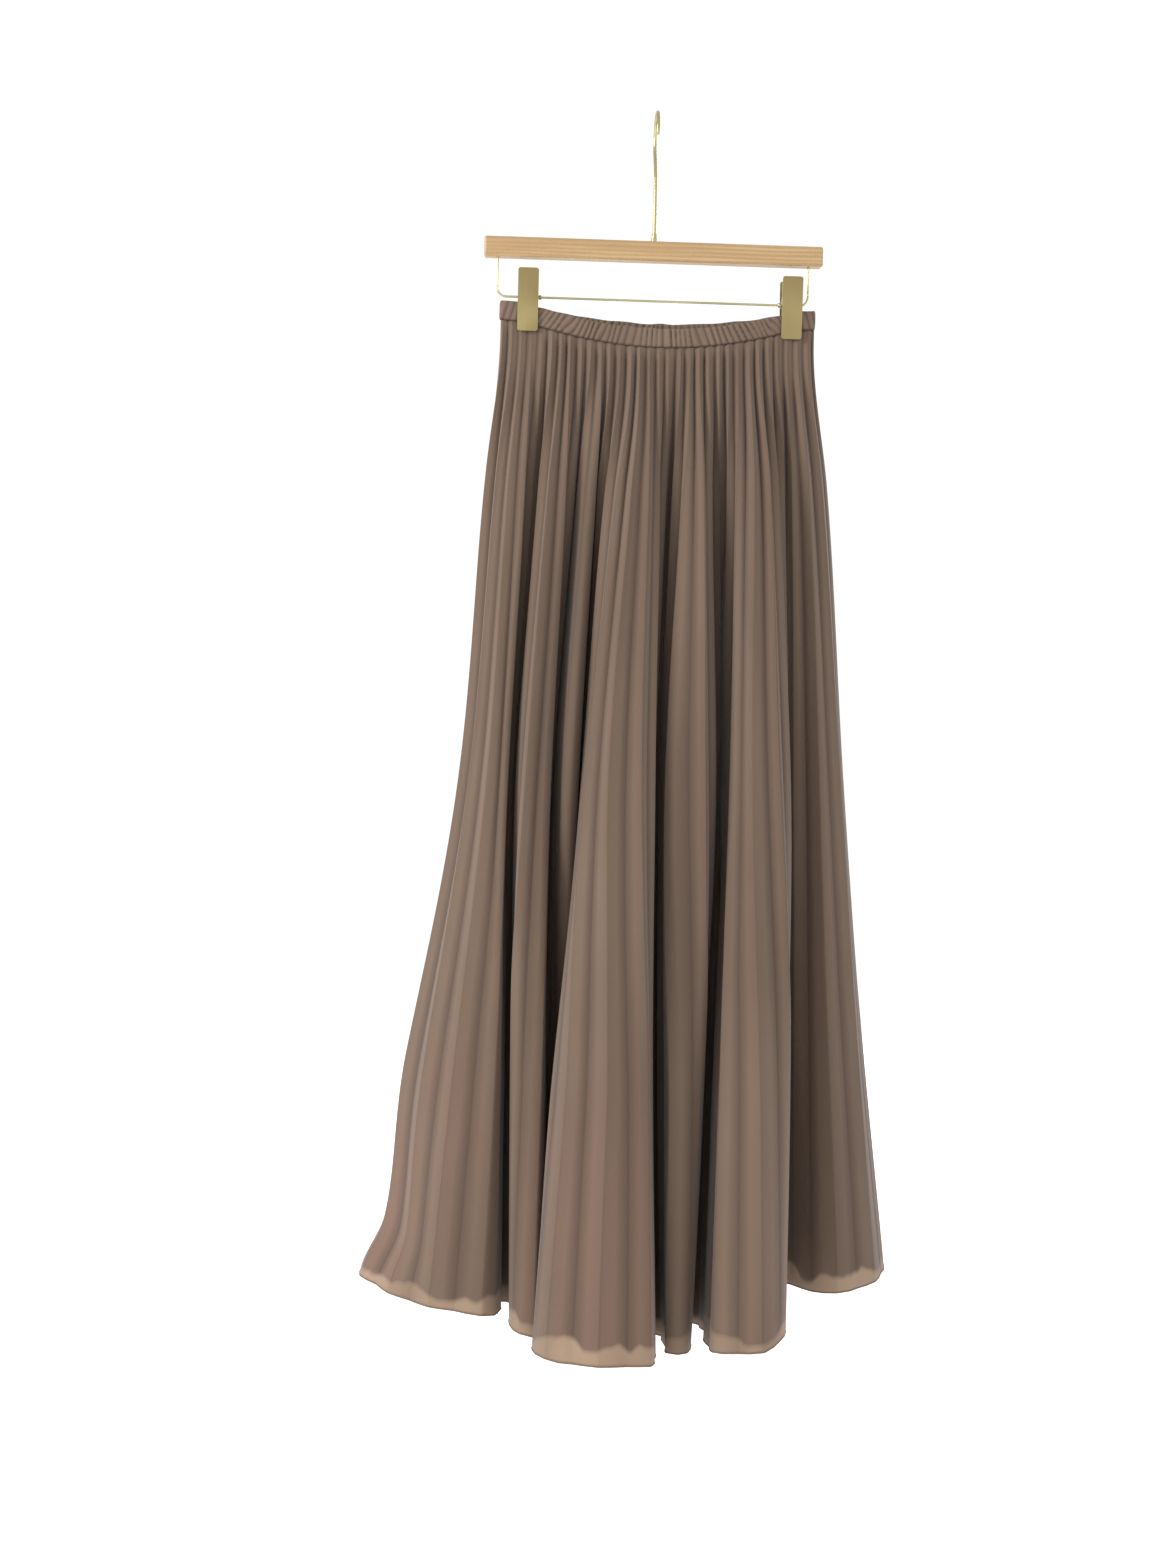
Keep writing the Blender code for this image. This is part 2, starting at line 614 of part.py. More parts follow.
def cylinder_along_x(name, centre, radius, length, collection, material=None):
    mesh = bmesh.new()
    across = Matrix.Rotation(math.pi / 2, 4, "Y")
    bmesh.ops.create_cone(
        mesh,
        cap_ends=True,
        segments=20,
        radius1=radius * MM,
        radius2=radius * MM,
        depth=length * MM,
        matrix=Matrix.Translation(Vector(centre) * MM) @ across,
    )
    data = bpy.data.meshes.new(name)
    mesh.to_mesh(data)
    mesh.free()
    return add_object(name, data, collection, material)


def boolean(target, tool, operation):
    modifier = target.modifiers.new(tool.name, "BOOLEAN")
    modifier.operation = operation
    modifier.object = tool
    tool.hide_render = True
    tool.display_type = "WIRE"


def clip_jaw(name, clip_x, facing, lug_x, collection, cutters, material):
    """Flat jaw, its foot on the cloth and its head leaning out, with two lugs on the wire.

    facing is -1 for the front jaw and 1 for the back one.
    """
    lean = math.atan2(JAW_TOP_Y - JAW_GRIP_Y, CLIP_HEIGHT)
    mesh = bmesh.new()
    half = CLIP_WIDTH / 2
    box_into(mesh, (-half, 0, 0), (half, JAW_THICKNESS, CLIP_HEIGHT))
    through = [e for e in mesh.edges if abs(e.verts[0].co.y - e.verts[1].co.y) > JAW_THICKNESS * MM / 2]
    bmesh.ops.bevel(
        mesh,
        geom=through,
        offset=JAW_CORNER_RADIUS * MM,
        affect="EDGES",
        segments=4,
        profile=0.5,
        material=-1,
    )
    bmesh.ops.transform(mesh, matrix=Matrix.Rotation(-lean, 4, "X"), verts=mesh.verts)
    if facing < 0:
        bmesh.ops.scale(mesh, vec=(1, -1, 1), verts=mesh.verts)
        bmesh.ops.reverse_faces(mesh, faces=mesh.faces)
    foot = Vector((clip_x, facing * JAW_GRIP_Y, CLIP_TOP_Z - CLIP_HEIGHT)) * MM
    bmesh.ops.translate(mesh, vec=foot, verts=mesh.verts)
    data = bpy.data.meshes.new(name)
    mesh.to_mesh(data)
    mesh.free()
    jaw = add_object(name, data, collection, material)

    reach = JAW_GRIP_Y + (RAIL_WIRE_Z - CLIP_TOP_Z + CLIP_HEIGHT) * math.tan(lean) + JAW_THICKNESS / 2
    for number, place in enumerate((-lug_x, lug_x)):
        centre = (clip_x + place, 0, RAIL_WIRE_Z)
        eye = cylinder_along_x(f"{name}_eye_{number}", centre, LUG_RADIUS, LUG_THICKNESS, cutters)
        boolean(jaw, eye, "UNION")
        mesh = bmesh.new()
        near, far = sorted((0.0, facing * reach))
        box_into(
            mesh,
            (centre[0] - LUG_THICKNESS / 2, near, RAIL_WIRE_Z - LUG_RADIUS + 0.4),
            (centre[0] + LUG_THICKNESS / 2, far, RAIL_WIRE_Z + LUG_RADIUS - 0.4),
        )
        data = bpy.data.meshes.new(f"{name}_web_{number}")
        mesh.to_mesh(data)
        mesh.free()
        boolean(jaw, add_object(f"{name}_web_{number}", data, cutters), "UNION")
    hole_radius = RAIL_WIRE_RADIUS + WIRE_CLEARANCE
    middle = (clip_x, 0, RAIL_WIRE_Z)
    hole = cylinder_along_x(f"{name}_hole", middle, hole_radius, 2 * CLIP_WIDTH, cutters)
    boolean(jaw, hole, "DIFFERENCE")
    return jaw


def clip(side, collection, cutters, material):
    """One sprung clip: front jaw, back jaw, the spring between them and a collar beside it."""
    clip_x = CLIP_X[side]
    clip_jaw(f"clip_{side}_front_jaw", clip_x, -1, FRONT_LUG_X, collection, cutters, material)
    clip_jaw(f"clip_{side}_back_jaw", clip_x, 1, BACK_LUG_X, collection, cutters, material)
    inner = RAIL_WIRE_RADIUS + WIRE_CLEARANCE
    inward = 1 if clip_x < 0 else -1
    collar_x = clip_x + inward * (FRONT_LUG_X + LUG_THICKNESS / 2 + SEAM_GAP + COLLAR_LENGTH / 2)
    rings = (
        ("spring", clip_x, SPRING_RADIUS, SPRING_HALF_LENGTH),
        ("collar", collar_x, COLLAR_RADIUS, COLLAR_LENGTH / 2),
    )
    for name, x, radius, half in rings:
        outline = ((radius, half), (radius, -half), (inner, -half), (inner, half))
        turned(f"clip_{side}_{name}", outline, (x, 0, RAIL_WIRE_Z), (1, 0, 0), collection, material)


def main():
    clear_scene()
    collection = new_collection("pleated_skirt_on_hanger")
    cutters = new_collection("cutters")
    material = {name: new_material(name) for name in MATERIALS}
    bar(collection, material["bare_beech"])
    hook(collection, material["pale_brass"])
    ferrule(collection, material["pale_brass"])
    rail_wire(collection, material["pale_brass"])
    for side in CLIP_X:
        clip(side, collection, cutters, material["satin_brass"])
    waistband(collection, material["chiffon"])
    for panel in ("front", "back"):
        skirt_panel(panel, collection, material["chiffon"])
        lining_panel(panel, collection, material["lining_cloth"])


main()
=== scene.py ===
"""Long sunray-pleated skirt on a clip hanger: cloth, hardware, materials, light and camera.

Metres, +Z up, with the origin at the inner top of the hook. The skirt's front faces -Y. Sizes
below are in millimetres and are turned to metres by MM.
"""

import functools
import math

import bmesh
import bpy
import numpy as np
from mathutils import Matrix, Vector


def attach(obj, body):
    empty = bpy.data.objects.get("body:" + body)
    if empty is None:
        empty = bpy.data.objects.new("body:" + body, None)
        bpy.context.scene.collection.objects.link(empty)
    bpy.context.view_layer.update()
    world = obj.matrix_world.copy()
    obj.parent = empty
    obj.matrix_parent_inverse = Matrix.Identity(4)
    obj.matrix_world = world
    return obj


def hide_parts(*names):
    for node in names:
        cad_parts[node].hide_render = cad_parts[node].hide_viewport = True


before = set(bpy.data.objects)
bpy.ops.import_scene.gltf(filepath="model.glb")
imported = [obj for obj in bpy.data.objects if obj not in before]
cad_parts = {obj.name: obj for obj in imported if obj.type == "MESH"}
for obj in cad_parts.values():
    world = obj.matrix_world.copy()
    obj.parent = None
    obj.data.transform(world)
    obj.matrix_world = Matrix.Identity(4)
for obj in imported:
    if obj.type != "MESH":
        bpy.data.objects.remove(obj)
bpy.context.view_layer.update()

MM = 0.001

# Hanger
BAR_LENGTH = 356.0
BAR_HEIGHT = 21.0
BAR_DEPTH = 14.5
BAR_TOP_Z = -133.5
BAR_EDGE_RADIUS = 2.6
HOOK_WIRE_RADIUS = 2.0
HOOK_INNER_RADIUS = 22.0
HOOK_TIP_ANGLE = 195.0
HOOK_LEAVING_ANGLE = -48.0
HOOK_STEM_TOP_Z = -66.0
FERRULE_RADIUS = 3.4
FERRULE_HEIGHT = 9.0
RAIL_WIRE_RADIUS = 1.2
RAIL_WIRE_HALF_SPAN = 163.5
RAIL_WIRE_Z = -195.3
RAIL_WIRE_CORNER_RADIUS = 9.0

# Clips
CLIP_X = {"left": -131.0, "right": 146.0}
CLIP_WIDTH = 21.5
CLIP_HEIGHT = 65.0
CLIP_TOP_Z = -167.0
PLATE_CORNER_RADIUS = 2.6
JAW_GRIP_Y = 5.3
JAW_TOP_Y = 10.4
JAW_THICKNESS = 1.8
# Width of the plate's rim, which carries a painted highlight
HIGHLIGHT_RIM_WIDTH = 1.4
PRESSED_DEPTH = 0.35
LUG_RADIUS = 4.2
LUG_THICKNESS = 1.2
LUG_ABOVE_WIRE = 9.0
LUG_BELOW_WIRE = 2.0
FRONT_LUG_X = 9.9
BACK_LUG_X = 8.2
SPRING_HALF_LENGTH = 6.6
SPRING_RADIUS = 2.4
SPRING_TURNS = 10
COLLAR_LENGTH = 3.6
COLLAR_RADIUS = 1.9
COLLAR_TURNS = 3
COIL_GAUGE = 0.55
PLATE_SET_IN = 0.3

# Waist
WAIST_CENTRE_X = 6.0
WAIST_HALF_WIDTH = 165.0
WAIST_HALF_DEPTH = 5.5
WAIST_OPEN_DEPTH = 9.5
WAIST_CLIPPED_DEPTH = 3.4
CLIPPED_HALF_WIDTH = 20.0
BAND_TOP_AT_CLIPS_Z = -203.0
BAND_HEIGHT = 20.0
FRONT_SAG = 23.0
BACK_SAG = 14.0
END_RISE = 3.0
GATHER_PITCH = 6.6
GATHER_DEPTH = 2.4
GATHER_SLANT = 2.6
GATHER_WANDER = 3.2

# Pleated cloth
SEAM_GAP = 0.3
SKIRT_LENGTH = 1035.0
CLOTH_THICKNESS = 0.4
PLEATS_PER_PANEL = 32
FACE_AT_WAIST = 6.8
FACE_AT_HEM = 27.6
LEAST_PLEAT_DEPTH = 3.0
CLIPPED_PLEAT_SHARE = 0.3
CLIPPED_LENGTH = 40.0
HEM_ROLL_RADIUS = 0.8

# Lining
LINING_SHORTER = 20.0
LINING_STITCHED_ABOVE = 14.0
LINING_HALF_DEPTH = 1.1
LINING_LEAST_DEPTH = 1.2
LINING_BEHIND_BAND = 4.0
LINING_NARROWER = 12.0
LINING_INSIDE_SIDES = 14.0
LINING_FREE_LENGTH = 60.0
LINING_COLUMNS = 6
LINING_BESIDE_FEET = 7.0
LINING_NARROW_FOOT = "inner_valley"
LINING_CLEARANCES = (2.3, 2.4, 4.0, 6.0, 8.0, 7.5)
LINING_NODES = ("lining_front", "lining_back")
LINING_BELLY_SHARE = 0.4

# Large folds, at six distances down the cloth from the waist seam
LEVELS = (0.0, 18.0, 165.0, 480.0, 800.0, SKIRT_LENGTH)
HIP_SHARE_OF_KNEE_DEPTH = 0.42
HIP_SHARE_OF_KNEE_HALF_WIDTH = 0.8
CALF_SHARE_OF_HEM_DEPTH = 0.62
SAMPLES_PER_FOLD = 12

# Columns: name, x of its middle at hip, knee, calf and hem, half width at knee and at hem,
# y at knee and at hem
FRONT_FOLDS = (
    ("left_flute", -156, -166, -191, -206, 0, 0, -25, -38),
    ("left_flute_edge", -145, -145, -142, -140, 0, 0, -30, -48),
    ("first_valley", -136, -134, -131, -127, 4, 7, 6, 24),
    ("narrow_flute", -118, -114, -110, -107, 12, 14, -38, -66),
    ("second_valley", -98, -93, -88, -84, 4, 8, 10, 36),
    ("inner_flute", -79, -79, -76, -71, 6, 4, -34, 30),
    ("inner_valley", -60, -63, -63, -59, 3, 3, 2, 4),
    ("main_flute_left", -48, -61, -88, -103, 0, 0, -55, -112),
    ("main_flute", -24, -41, -55, -62, 0, 0, -72, -145),
    ("main_flute_right", 5, 4, 6, 14, 0, 0, -62, -132),
    ("third_valley", 14, 16, 20, 27, 4, 6, -6, -4),
    ("shaded_flute", 50, 47, 46, 47, 19, 9, -49, -82),
    ("fourth_valley", 92, 83, 75, 68, 4, 7, 8, 24),
    ("right_flute_left", 103, 96, 87, 82, 0, 0, -52, -105),
    ("right_flute", 121, 121, 116, 112, 0, 0, -60, -118),
    ("right_flute_edge", 140, 146, 148, 148, 0, 0, -50, -98),
    ("fifth_valley", 150, 159, 166, 169, 4, 9, 8, 64),
    ("side_flute_left", 161, 175, 190, 200, 0, 0, 2, 32),
    ("side_flute", 176, 196, 222, 240, 0, 0, 0, 30),
)
RIGHT_SIDE = ("right_side", 191, 220, 256, 287, 0, 0, 36, 90)
BACK_FOLDS = (
    ("right_back_flute", 168, 192, 226, 254, 0, 0, 74, 160),
    ("right_back_edge", 153, 169, 197, 218, 0, 0, 80, 170),
    ("first_back_valley", 143, 157, 181, 201, 4, 7, 34, 88),
    ("first_back_flute", 119, 129, 146, 162, 13, 22, 78, 172),
    ("second_back_valley", 95, 101, 112, 124, 4, 7, 30, 80),
    ("second_back_flute", 69, 72, 80, 90, 17, 21, 77, 176),
    ("third_back_valley", 42, 43, 48, 54, 4, 7, 28, 76),
    ("third_back_flute", 16, 15, 15, 16, 18, 24, 75, 175),
    ("fourth_back_valley", -11, -13, -18, -23, 4, 7, 28, 80),
    ("fourth_back_flute", -38, -43, -51, -59, 18, 22, 73, 173),
    ("fifth_back_valley", -66, -73, -84, -97, 4, 7, 30, 82),
    ("fifth_back_flute", -89, -99, -117, -135, 16, 24, 72, 168),
    ("sixth_back_valley", -112, -126, -151, -174, 4, 7, 32, 86),
    ("left_back_edge", -123, -138, -168, -190, 0, 0, 64, 155),
    ("left_back_flute", -150, -172, -210, -240, 0, 0, 62, 142),
)
LEFT_SIDE = ("left_side", -170, -190, -243, -286, 0, 0, 22, 52)


def in_group(name):
    collection = bpy.data.collections.new(name)
    bpy.context.scene.collection.children.link(collection)
    return collection


cloth_group = in_group("cloth")
hardware_group = in_group("hardware")
studio_group = in_group("studio")


# Materials

TIMES = {"operation": "MULTIPLY"}
PLUS = {"operation": "ADD"}
MINUS = {"operation": "SUBTRACT"}
SMOOTH = {"interpolation_type": "SMOOTHSTEP"}
COLOURS = {"data_type": "RGBA", "out": 2}


def linear(colour):
    """An sRGB hex colour as linear red, green, blue and alpha."""
    channels = [int(colour[i : i + 2], 16) / 255 for i in (1, 3, 5)]
    return (*[c / 12.92 if c <= 0.04045 else ((c + 0.055) / 1.055) ** 2.4 for c in channels], 1.0)


def node(tree, kind, inputs=(), out=0, **settings):
    """Adds a shader node and gives one of its outputs. An input is a value, a hex colour, or a
    socket to link it to. A tuple fills the inputs in their order.
    """
    made = tree.nodes.new(f"ShaderNode{kind}")
    for name, value in settings.items():
        setattr(made, name, value)
    for name, value in inputs.items() if isinstance(inputs, dict) else enumerate(inputs):
        if isinstance(value, bpy.types.NodeSocket):
            tree.links.new(value, made.inputs[name])
        else:
            made.inputs[name].default_value = linear(value) if isinstance(value, str) else value
    return made.outputs[out] if made.outputs else None


def new_material(name):
    material = bpy.data.materials.new(name)
    material.use_nodes = True
    material.node_tree.nodes.clear()
    return material, material.node_tree


def two_tones(tree, pattern, low, high, first, second):
    """Colour that goes from one tone to the other as a pattern goes from low to high."""
    share = node(tree, "MapRange", (pattern, low, high), **SMOOTH)
    return node(tree, "Mix", {0: share, 6: first, 7: second}, **COLOURS)


def tinted(tree, colour, mask, strength, tint):
    """The colour with a tint laid over it where its mask is."""
    share = node(tree, "Math", (mask, strength), **TIMES)
    return node(tree, "Mix", {0: share, 6: colour, 7: tint}, **COLOURS)


def finish_material(tree, surface, relief=None, strength=0.5):
    """Gives the material its surface, and its relief in metres where it has one."""
    if relief is not None:
        surface["Normal"] = node(tree, "Bump", {"Strength": strength, "Distance": 1.0, "Height": relief})
    node(tree, "OutputMaterial", {"Surface": node(tree, "BsdfPrincipled", surface)})


def pleated_chiffon():
    """Polyester chiffon, heat-set in pleats: matt and dry, softly mottled, with a crepe grain.

    Painted shade draws darker lines along the creases. Below the lining's edge the sheer cloth stands
    alone and lets light through, which is drawn here as a band of painted light on opaque cloth.
    """
    material, tree = new_material("pleated chiffon")
    down, across, hollow, valley, crease, pleat = (
        node(tree, "Attribute", out="Fac", attribute_name=name)
        for name in ("down", "across", "hollow", "valley", "crease", "pleat")
    )
    on_cloth = node(tree, "CombineXYZ", (across, down))
    on_pleats = node(tree, "CombineXYZ", (pleat, down))

    # Dye and dust mottling 70 mm across, drawn out along the pleats
    drawn = node(tree, "Mapping", {0: on_pleats, 3: (1.0, 0.2, 1.0)})
    mottle = node(tree, "TexNoise", {0: drawn, 2: 14.0, 3: 3.0})
    colour = two_tones(tree, mottle, 0.35, 0.65, "#6E5D4F", "#665548")
    blush = node(tree, "TexNoise", {0: drawn, 2: 7.0, 3: 2.0})
    blush = node(tree, "MapRange", (blush, 0.42, 0.62), **SMOOTH)
    low = node(tree, "MapRange", (down, 0.6, 0.98), **SMOOTH)
    colour = tinted(tree, colour, node(tree, "Math", (low, blush), **TIMES), 0.6, "#7E6255")

    # Light lost between the faces of a pleat, at the foot of a fold and along a crease, as colour
    colour = tinted(tree, colour, hollow, 0.5, "#42322A")
    colour = tinted(tree, colour, valley, 0.4, "#2C201A")
    colour = tinted(tree, colour, crease, 0.45, "#382A23")

    # Band of bare sheer cloth, painted lighter for the light that shows through it, whose upper edge
    # wanders from 9 to 28 mm above the hem
    edge = node(tree, "TexNoise", {1: pleat, 2: 18.0, 3: 3.0}, noise_dimensions="1D")
    edge = node(tree, "MapRange", (edge, 0.3, 0.7, 1.007, 1.026), **SMOOTH)
    below = node(tree, "Math", (down, edge), **MINUS)
    sheer = node(tree, "MapRange", (below, -0.003, 0.006), **SMOOTH)
    thin = node(tree, "MapRange", (mottle, 0.3, 0.7, 0.3, 0.9), **SMOOTH)
    colour = tinted(tree, colour, sheer, thin, "#937D69")
    # Painted shadow of the lining's hem: a thin dark line just above the band
    above_edge = node(tree, "MapRange", (below, -0.004, 0.0), **SMOOTH)
    past_edge = node(tree, "MapRange", (below, 0.0, 0.001, 1.0, 0.0), **SMOOTH)
    lining_hem_shadow = node(tree, "Math", (above_edge, past_edge), **TIMES)
    colour = tinted(tree, colour, lining_hem_shadow, 0.2, "#4B3B31")

    # Crepe grain drawn at 1.6 mm, because the real 0.3 mm thread is too fine to show
    crepe = node(tree, "TexNoise", {0: on_cloth, 2: 620.0, 3: 3.0})
    pucker = node(tree, "TexNoise", {0: drawn, 2: 90.0, 3: 2.0})
    grain = node(tree, "Math", (crepe, 0.0004), **TIMES)
    relief = node(tree, "Math", (grain, node(tree, "Math", (pucker, 0.0012), **TIMES)), **PLUS)
    surface = {
        "Base Color": colour,
        "Roughness": node(tree, "MapRange", (crepe, 0.3, 0.7, 0.78, 0.92), **SMOOTH),
        "Specular IOR Level": 0.25,
        "Sheen Weight": 0.12,
        "Sheen Roughness": 0.5,
    }
    finish_material(tree, surface, relief, 0.6)
    return material


def lining_weave():
    """Plain woven polyester lining: flat and faintly silky, with a stitched hem."""
    material, tree = new_material("plain woven lining")
    down, across = (
        node(tree, "Attribute", out="Fac", attribute_name=name) for name in ("down", "across")
    )
    on_cloth = node(tree, "CombineXYZ", (across, down))
    mottle = node(tree, "TexNoise", {0: on_cloth, 2: 11.0, 3: 3.0})
    colour = two_tones(tree, mottle, 0.35, 0.65, "#665347", "#5B493F")

    # Line of stitches above the lining's edge, drawn 3 mm long
    stitched = (SKIRT_LENGTH - LINING_SHORTER - LINING_STITCHED_ABOVE) * MM
    away = node(tree, "Math", (down, stitched), **MINUS)
    away = node(tree, "Math", (away,), operation="ABSOLUTE")
    line = node(tree, "MapRange", (away, 0.0004, 0.0009, 1.0, 0.0), **SMOOTH)
    along = node(tree, "Math", (across, 333.0), **TIMES)
    along = node(tree, "Math", (along,), operation="FRACT")
    dash = node(tree, "Math", (along, 0.7), operation="LESS_THAN")
    colour = tinted(tree, colour, node(tree, "Math", (line, dash), **TIMES), 0.6, "#3C2F28")

    # Thread spacing drawn at 1.2 mm, because the real 0.2 mm is too fine to show
    threads = []
    for way in "XY":
        wave = node(tree, "TexWave", {0: on_cloth, 1: 260.0, 2: 0.4}, out=1, bands_direction=way)
        threads.append(node(tree, "Math", (wave, 0.0001), **TIMES))
    surface = {
        "Base Color": colour,
        "Roughness": node(tree, "MapRange", (mottle, 0.3, 0.7, 0.55, 0.7), **SMOOTH),
        "Specular IOR Level": 0.35,
        "Sheen Weight": 0.1,
    }
    finish_material(tree, surface, node(tree, "Math", threads, **PLUS))
    return material


def varnished_beech():
    """Steamed beech under a thin satin varnish: warm straw, straight soft grain, short dark flecks."""
    material, tree = new_material("varnished beech")
    place = node(tree, "TexCoord", out="Object")

    # Growth bands 4 mm wide that run with the bar and swing slowly
    stretched = node(tree, "Mapping", {0: place, 3: (0.06, 1.0, 1.0)})
    swing = node(tree, "TexNoise", {0: stretched, 2: 60.0, 3: 4.0, 8: 1.2})
    wave = {0: stretched, 1: 75.0, 2: 5.0, 3: 3.0, 4: 1.2}
    bands = node(tree, "TexWave", wave, out=1, bands_direction="Z")
    colour = two_tones(tree, swing, 0.3, 0.7, "#AE9368", "#9E8059")
    colour = tinted(tree, colour, bands, 0.65, "#91714A")

    # Flecks a few millimetres long and 0.3 mm wide
    along_bar = node(tree, "Mapping", {0: place, 3: (0.12, 1.0, 1.0)})
    fleck = node(tree, "TexNoise", {0: along_bar, 2: 1500.0, 3: 1.0})
    fleck = node(tree, "MapRange", (fleck, 0.62, 0.7), **SMOOTH)
    colour = tinted(tree, colour, fleck, 0.35, "#7C5F3C")
    grain = node(tree, "Math", (swing, 0.0003), **TIMES)
    relief = node(tree, "Math", (grain, node(tree, "Math", (fleck, 0.0001), **TIMES)), **MINUS)
    surface = {
        "Base Color": colour,
        "Roughness": node(tree, "MapRange", (swing, 0.3, 0.7, 0.38, 0.5), **SMOOTH),
        "Coat Weight": 0.2,
        "Coat Roughness": 0.25,
    }
    finish_material(tree, surface, relief)
    return material


def plated_brass(name, face, tarnish, roughness, brushed, darkening_heights=None):
    """Brass plate on steel. brushed is the stretch of its polishing lines across X, Y and Z, and
    the last argument the heights between which it turns darker and darker towards the top.
    """
    material, tree = new_material(name)
    place = node(tree, "TexCoord", out="Object")
    cloudy = node(tree, "TexNoise", {0: place, 2: 14.0, 3: 2.0})
    colour = two_tones(tree, cloudy, 0.3, 0.8, face, tarnish)
    across_lines = node(tree, "Mapping", {0: place, 3: brushed})
    lines = node(tree, "TexNoise", {0: across_lines, 2: 900.0, 3: 2.0})
    dark_lines = node(tree, "MapRange", (lines, 0.45, 0.7), **SMOOTH)
    colour = tinted(tree, colour, dark_lines, 0.18, tarnish)
    if darkening_heights:
        # Darker towards the top of the plate
        height = node(tree, "SeparateXYZ", (place,), out=2)
        top_darkening = node(tree, "MapRange", (height, *darkening_heights, 0.0, 0.8), **SMOOTH)
        colour = node(tree, "Mix", {0: top_darkening, 6: colour, 7: tarnish}, **COLOURS)
    rough = (lines, 0.3, 0.7, roughness - 0.06, roughness + 0.08)
    surface = {
        "Base Color": colour,
        "Metallic": 1.0,
        "Roughness": node(tree, "MapRange", rough, **SMOOTH),
    }
    finish_material(tree, surface, node(tree, "Math", (lines, 0.00012), **TIMES), 0.35)
    return material


def studio_paper():
    """Matt seamless paper: near white, with a tooth too fine to see but for soft light."""
    material, tree = new_material("studio paper")
    place = node(tree, "TexCoord", out="Object")
    tooth = node(tree, "TexNoise", {0: place, 2: 5.0, 3: 4.0})
    colour = node(tree, "Mix", {0: tooth, 6: "#FFFFFF", 7: "#FCFCFC"}, **COLOURS)
    finish_material(tree, {"Base Color": colour, "Roughness": 0.95, "Specular IOR Level": 0.1})
    return material


CHIFFON = pleated_chiffon()
LINING = lining_weave()
BEECH = varnished_beech()
PALE_BRASS = plated_brass("pale brass wire", "#BDB68C", "#9C946B", 0.3, (0.05, 1.0, 1.0))
CLIP_HEIGHTS = ((CLIP_TOP_Z - CLIP_HEIGHT) * MM, CLIP_TOP_Z * MM)
SATIN_BRASS = plated_brass(
    "satin brass plate", "#B3A373", "#8F7F57", 0.36, (1.0, 1.0, 0.04), darkening_heights=CLIP_HEIGHTS
)
# Paler, smoother brass for the clip plates' rims and turned-back sides, as a painted highlight along their
# edges
RIM_HIGHLIGHT_BRASS = plated_brass(
    "satin brass with a painted highlight at its edges", "#EDE6BC", "#D6CC9E", 0.25, (1.0, 1.0, 1.0)
)
SPRING_STEEL = plated_brass("plated spring wire", "#B9B08A", "#8E845E", 0.3, (1.0, 1.0, 1.0))
PAPER = studio_paper()


# Making pieces


def finished(name, mesh, group, material, replaces, smooth=True):
    """Turns a bmesh in millimetres into a piece that rides on the part."""
    bmesh.ops.scale(mesh, vec=(MM, MM, MM), verts=mesh.verts)
    for face in mesh.faces:
        face.smooth = smooth
    data = bpy.data.meshes.new(name)
    mesh.to_mesh(data)
    mesh.free()
    data.materials.append(material)
    piece = bpy.data.objects.new(name, data)
    group.objects.link(piece)
    return ridden(piece, replaces)


def ridden(piece, replaces):
    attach(piece, "root")
    if replaces:
        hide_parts(*replaces)
    return piece


def sheet_of(name, points, values, material, replaces):
    """Sheet through rows of points, top row first. values are named numbers for its material."""
    rows, columns = points.shape[:2]
    mesh = bmesh.new()
    bmesh.ops.create_grid(mesh, x_segments=columns - 1, y_segments=rows - 1, size=0.5)
    places = []
    for vertex in mesh.verts:
        row = round((0.5 - vertex.co.y) * (rows - 1))
        column = round((vertex.co.x + 0.5) * (columns - 1))
        places.append(row * columns + column)
        vertex.co = points[row, column]
    piece = finished(name, mesh, cloth_group, material, replaces)
    for key, numbers in values.items():
        stored = piece.data.attributes.new(key, "FLOAT", "POINT")
        stored.data.foreach_set("value", np.asarray(numbers, np.float32).reshape(-1)[places])
    wall = piece.modifiers.new("cloth thickness", "SOLIDIFY")
    wall.thickness = CLOTH_THICKNESS * MM
    wall.offset = 0.0
    return piece


def wire(name, points, radius, material, replaces, group=hardware_group, radii=None):
    """Round wire along a line of points."""
    curve = bpy.data.curves.new(name, "CURVE")
    curve.dimensions = "3D"
    curve.bevel_depth = radius * MM
    curve.bevel_resolution = 4
    curve.use_fill_caps = True
    spline = curve.splines.new("POLY")
    spline.points.add(len(points) - 1)
    for place, point in zip(points, spline.points):
        point.co = (*(Vector(place) * MM), 1.0)
    if radii is not None:
        for share, point in zip(radii, spline.points):
            point.radius = share
    spline.use_smooth = True
    curve.materials.append(material)
    piece = bpy.data.objects.new(name, curve)
    group.objects.link(piece)
    return ridden(piece, replaces)


def arc(centre, radius, start, end, steps):
    """Points of an arc, as pairs, with angles in degrees."""
    angles = np.radians(np.linspace(start, end, steps))
    return [(centre[0] + radius * math.cos(a), centre[1] + radius * math.sin(a)) for a in angles]


# Lines of the folds


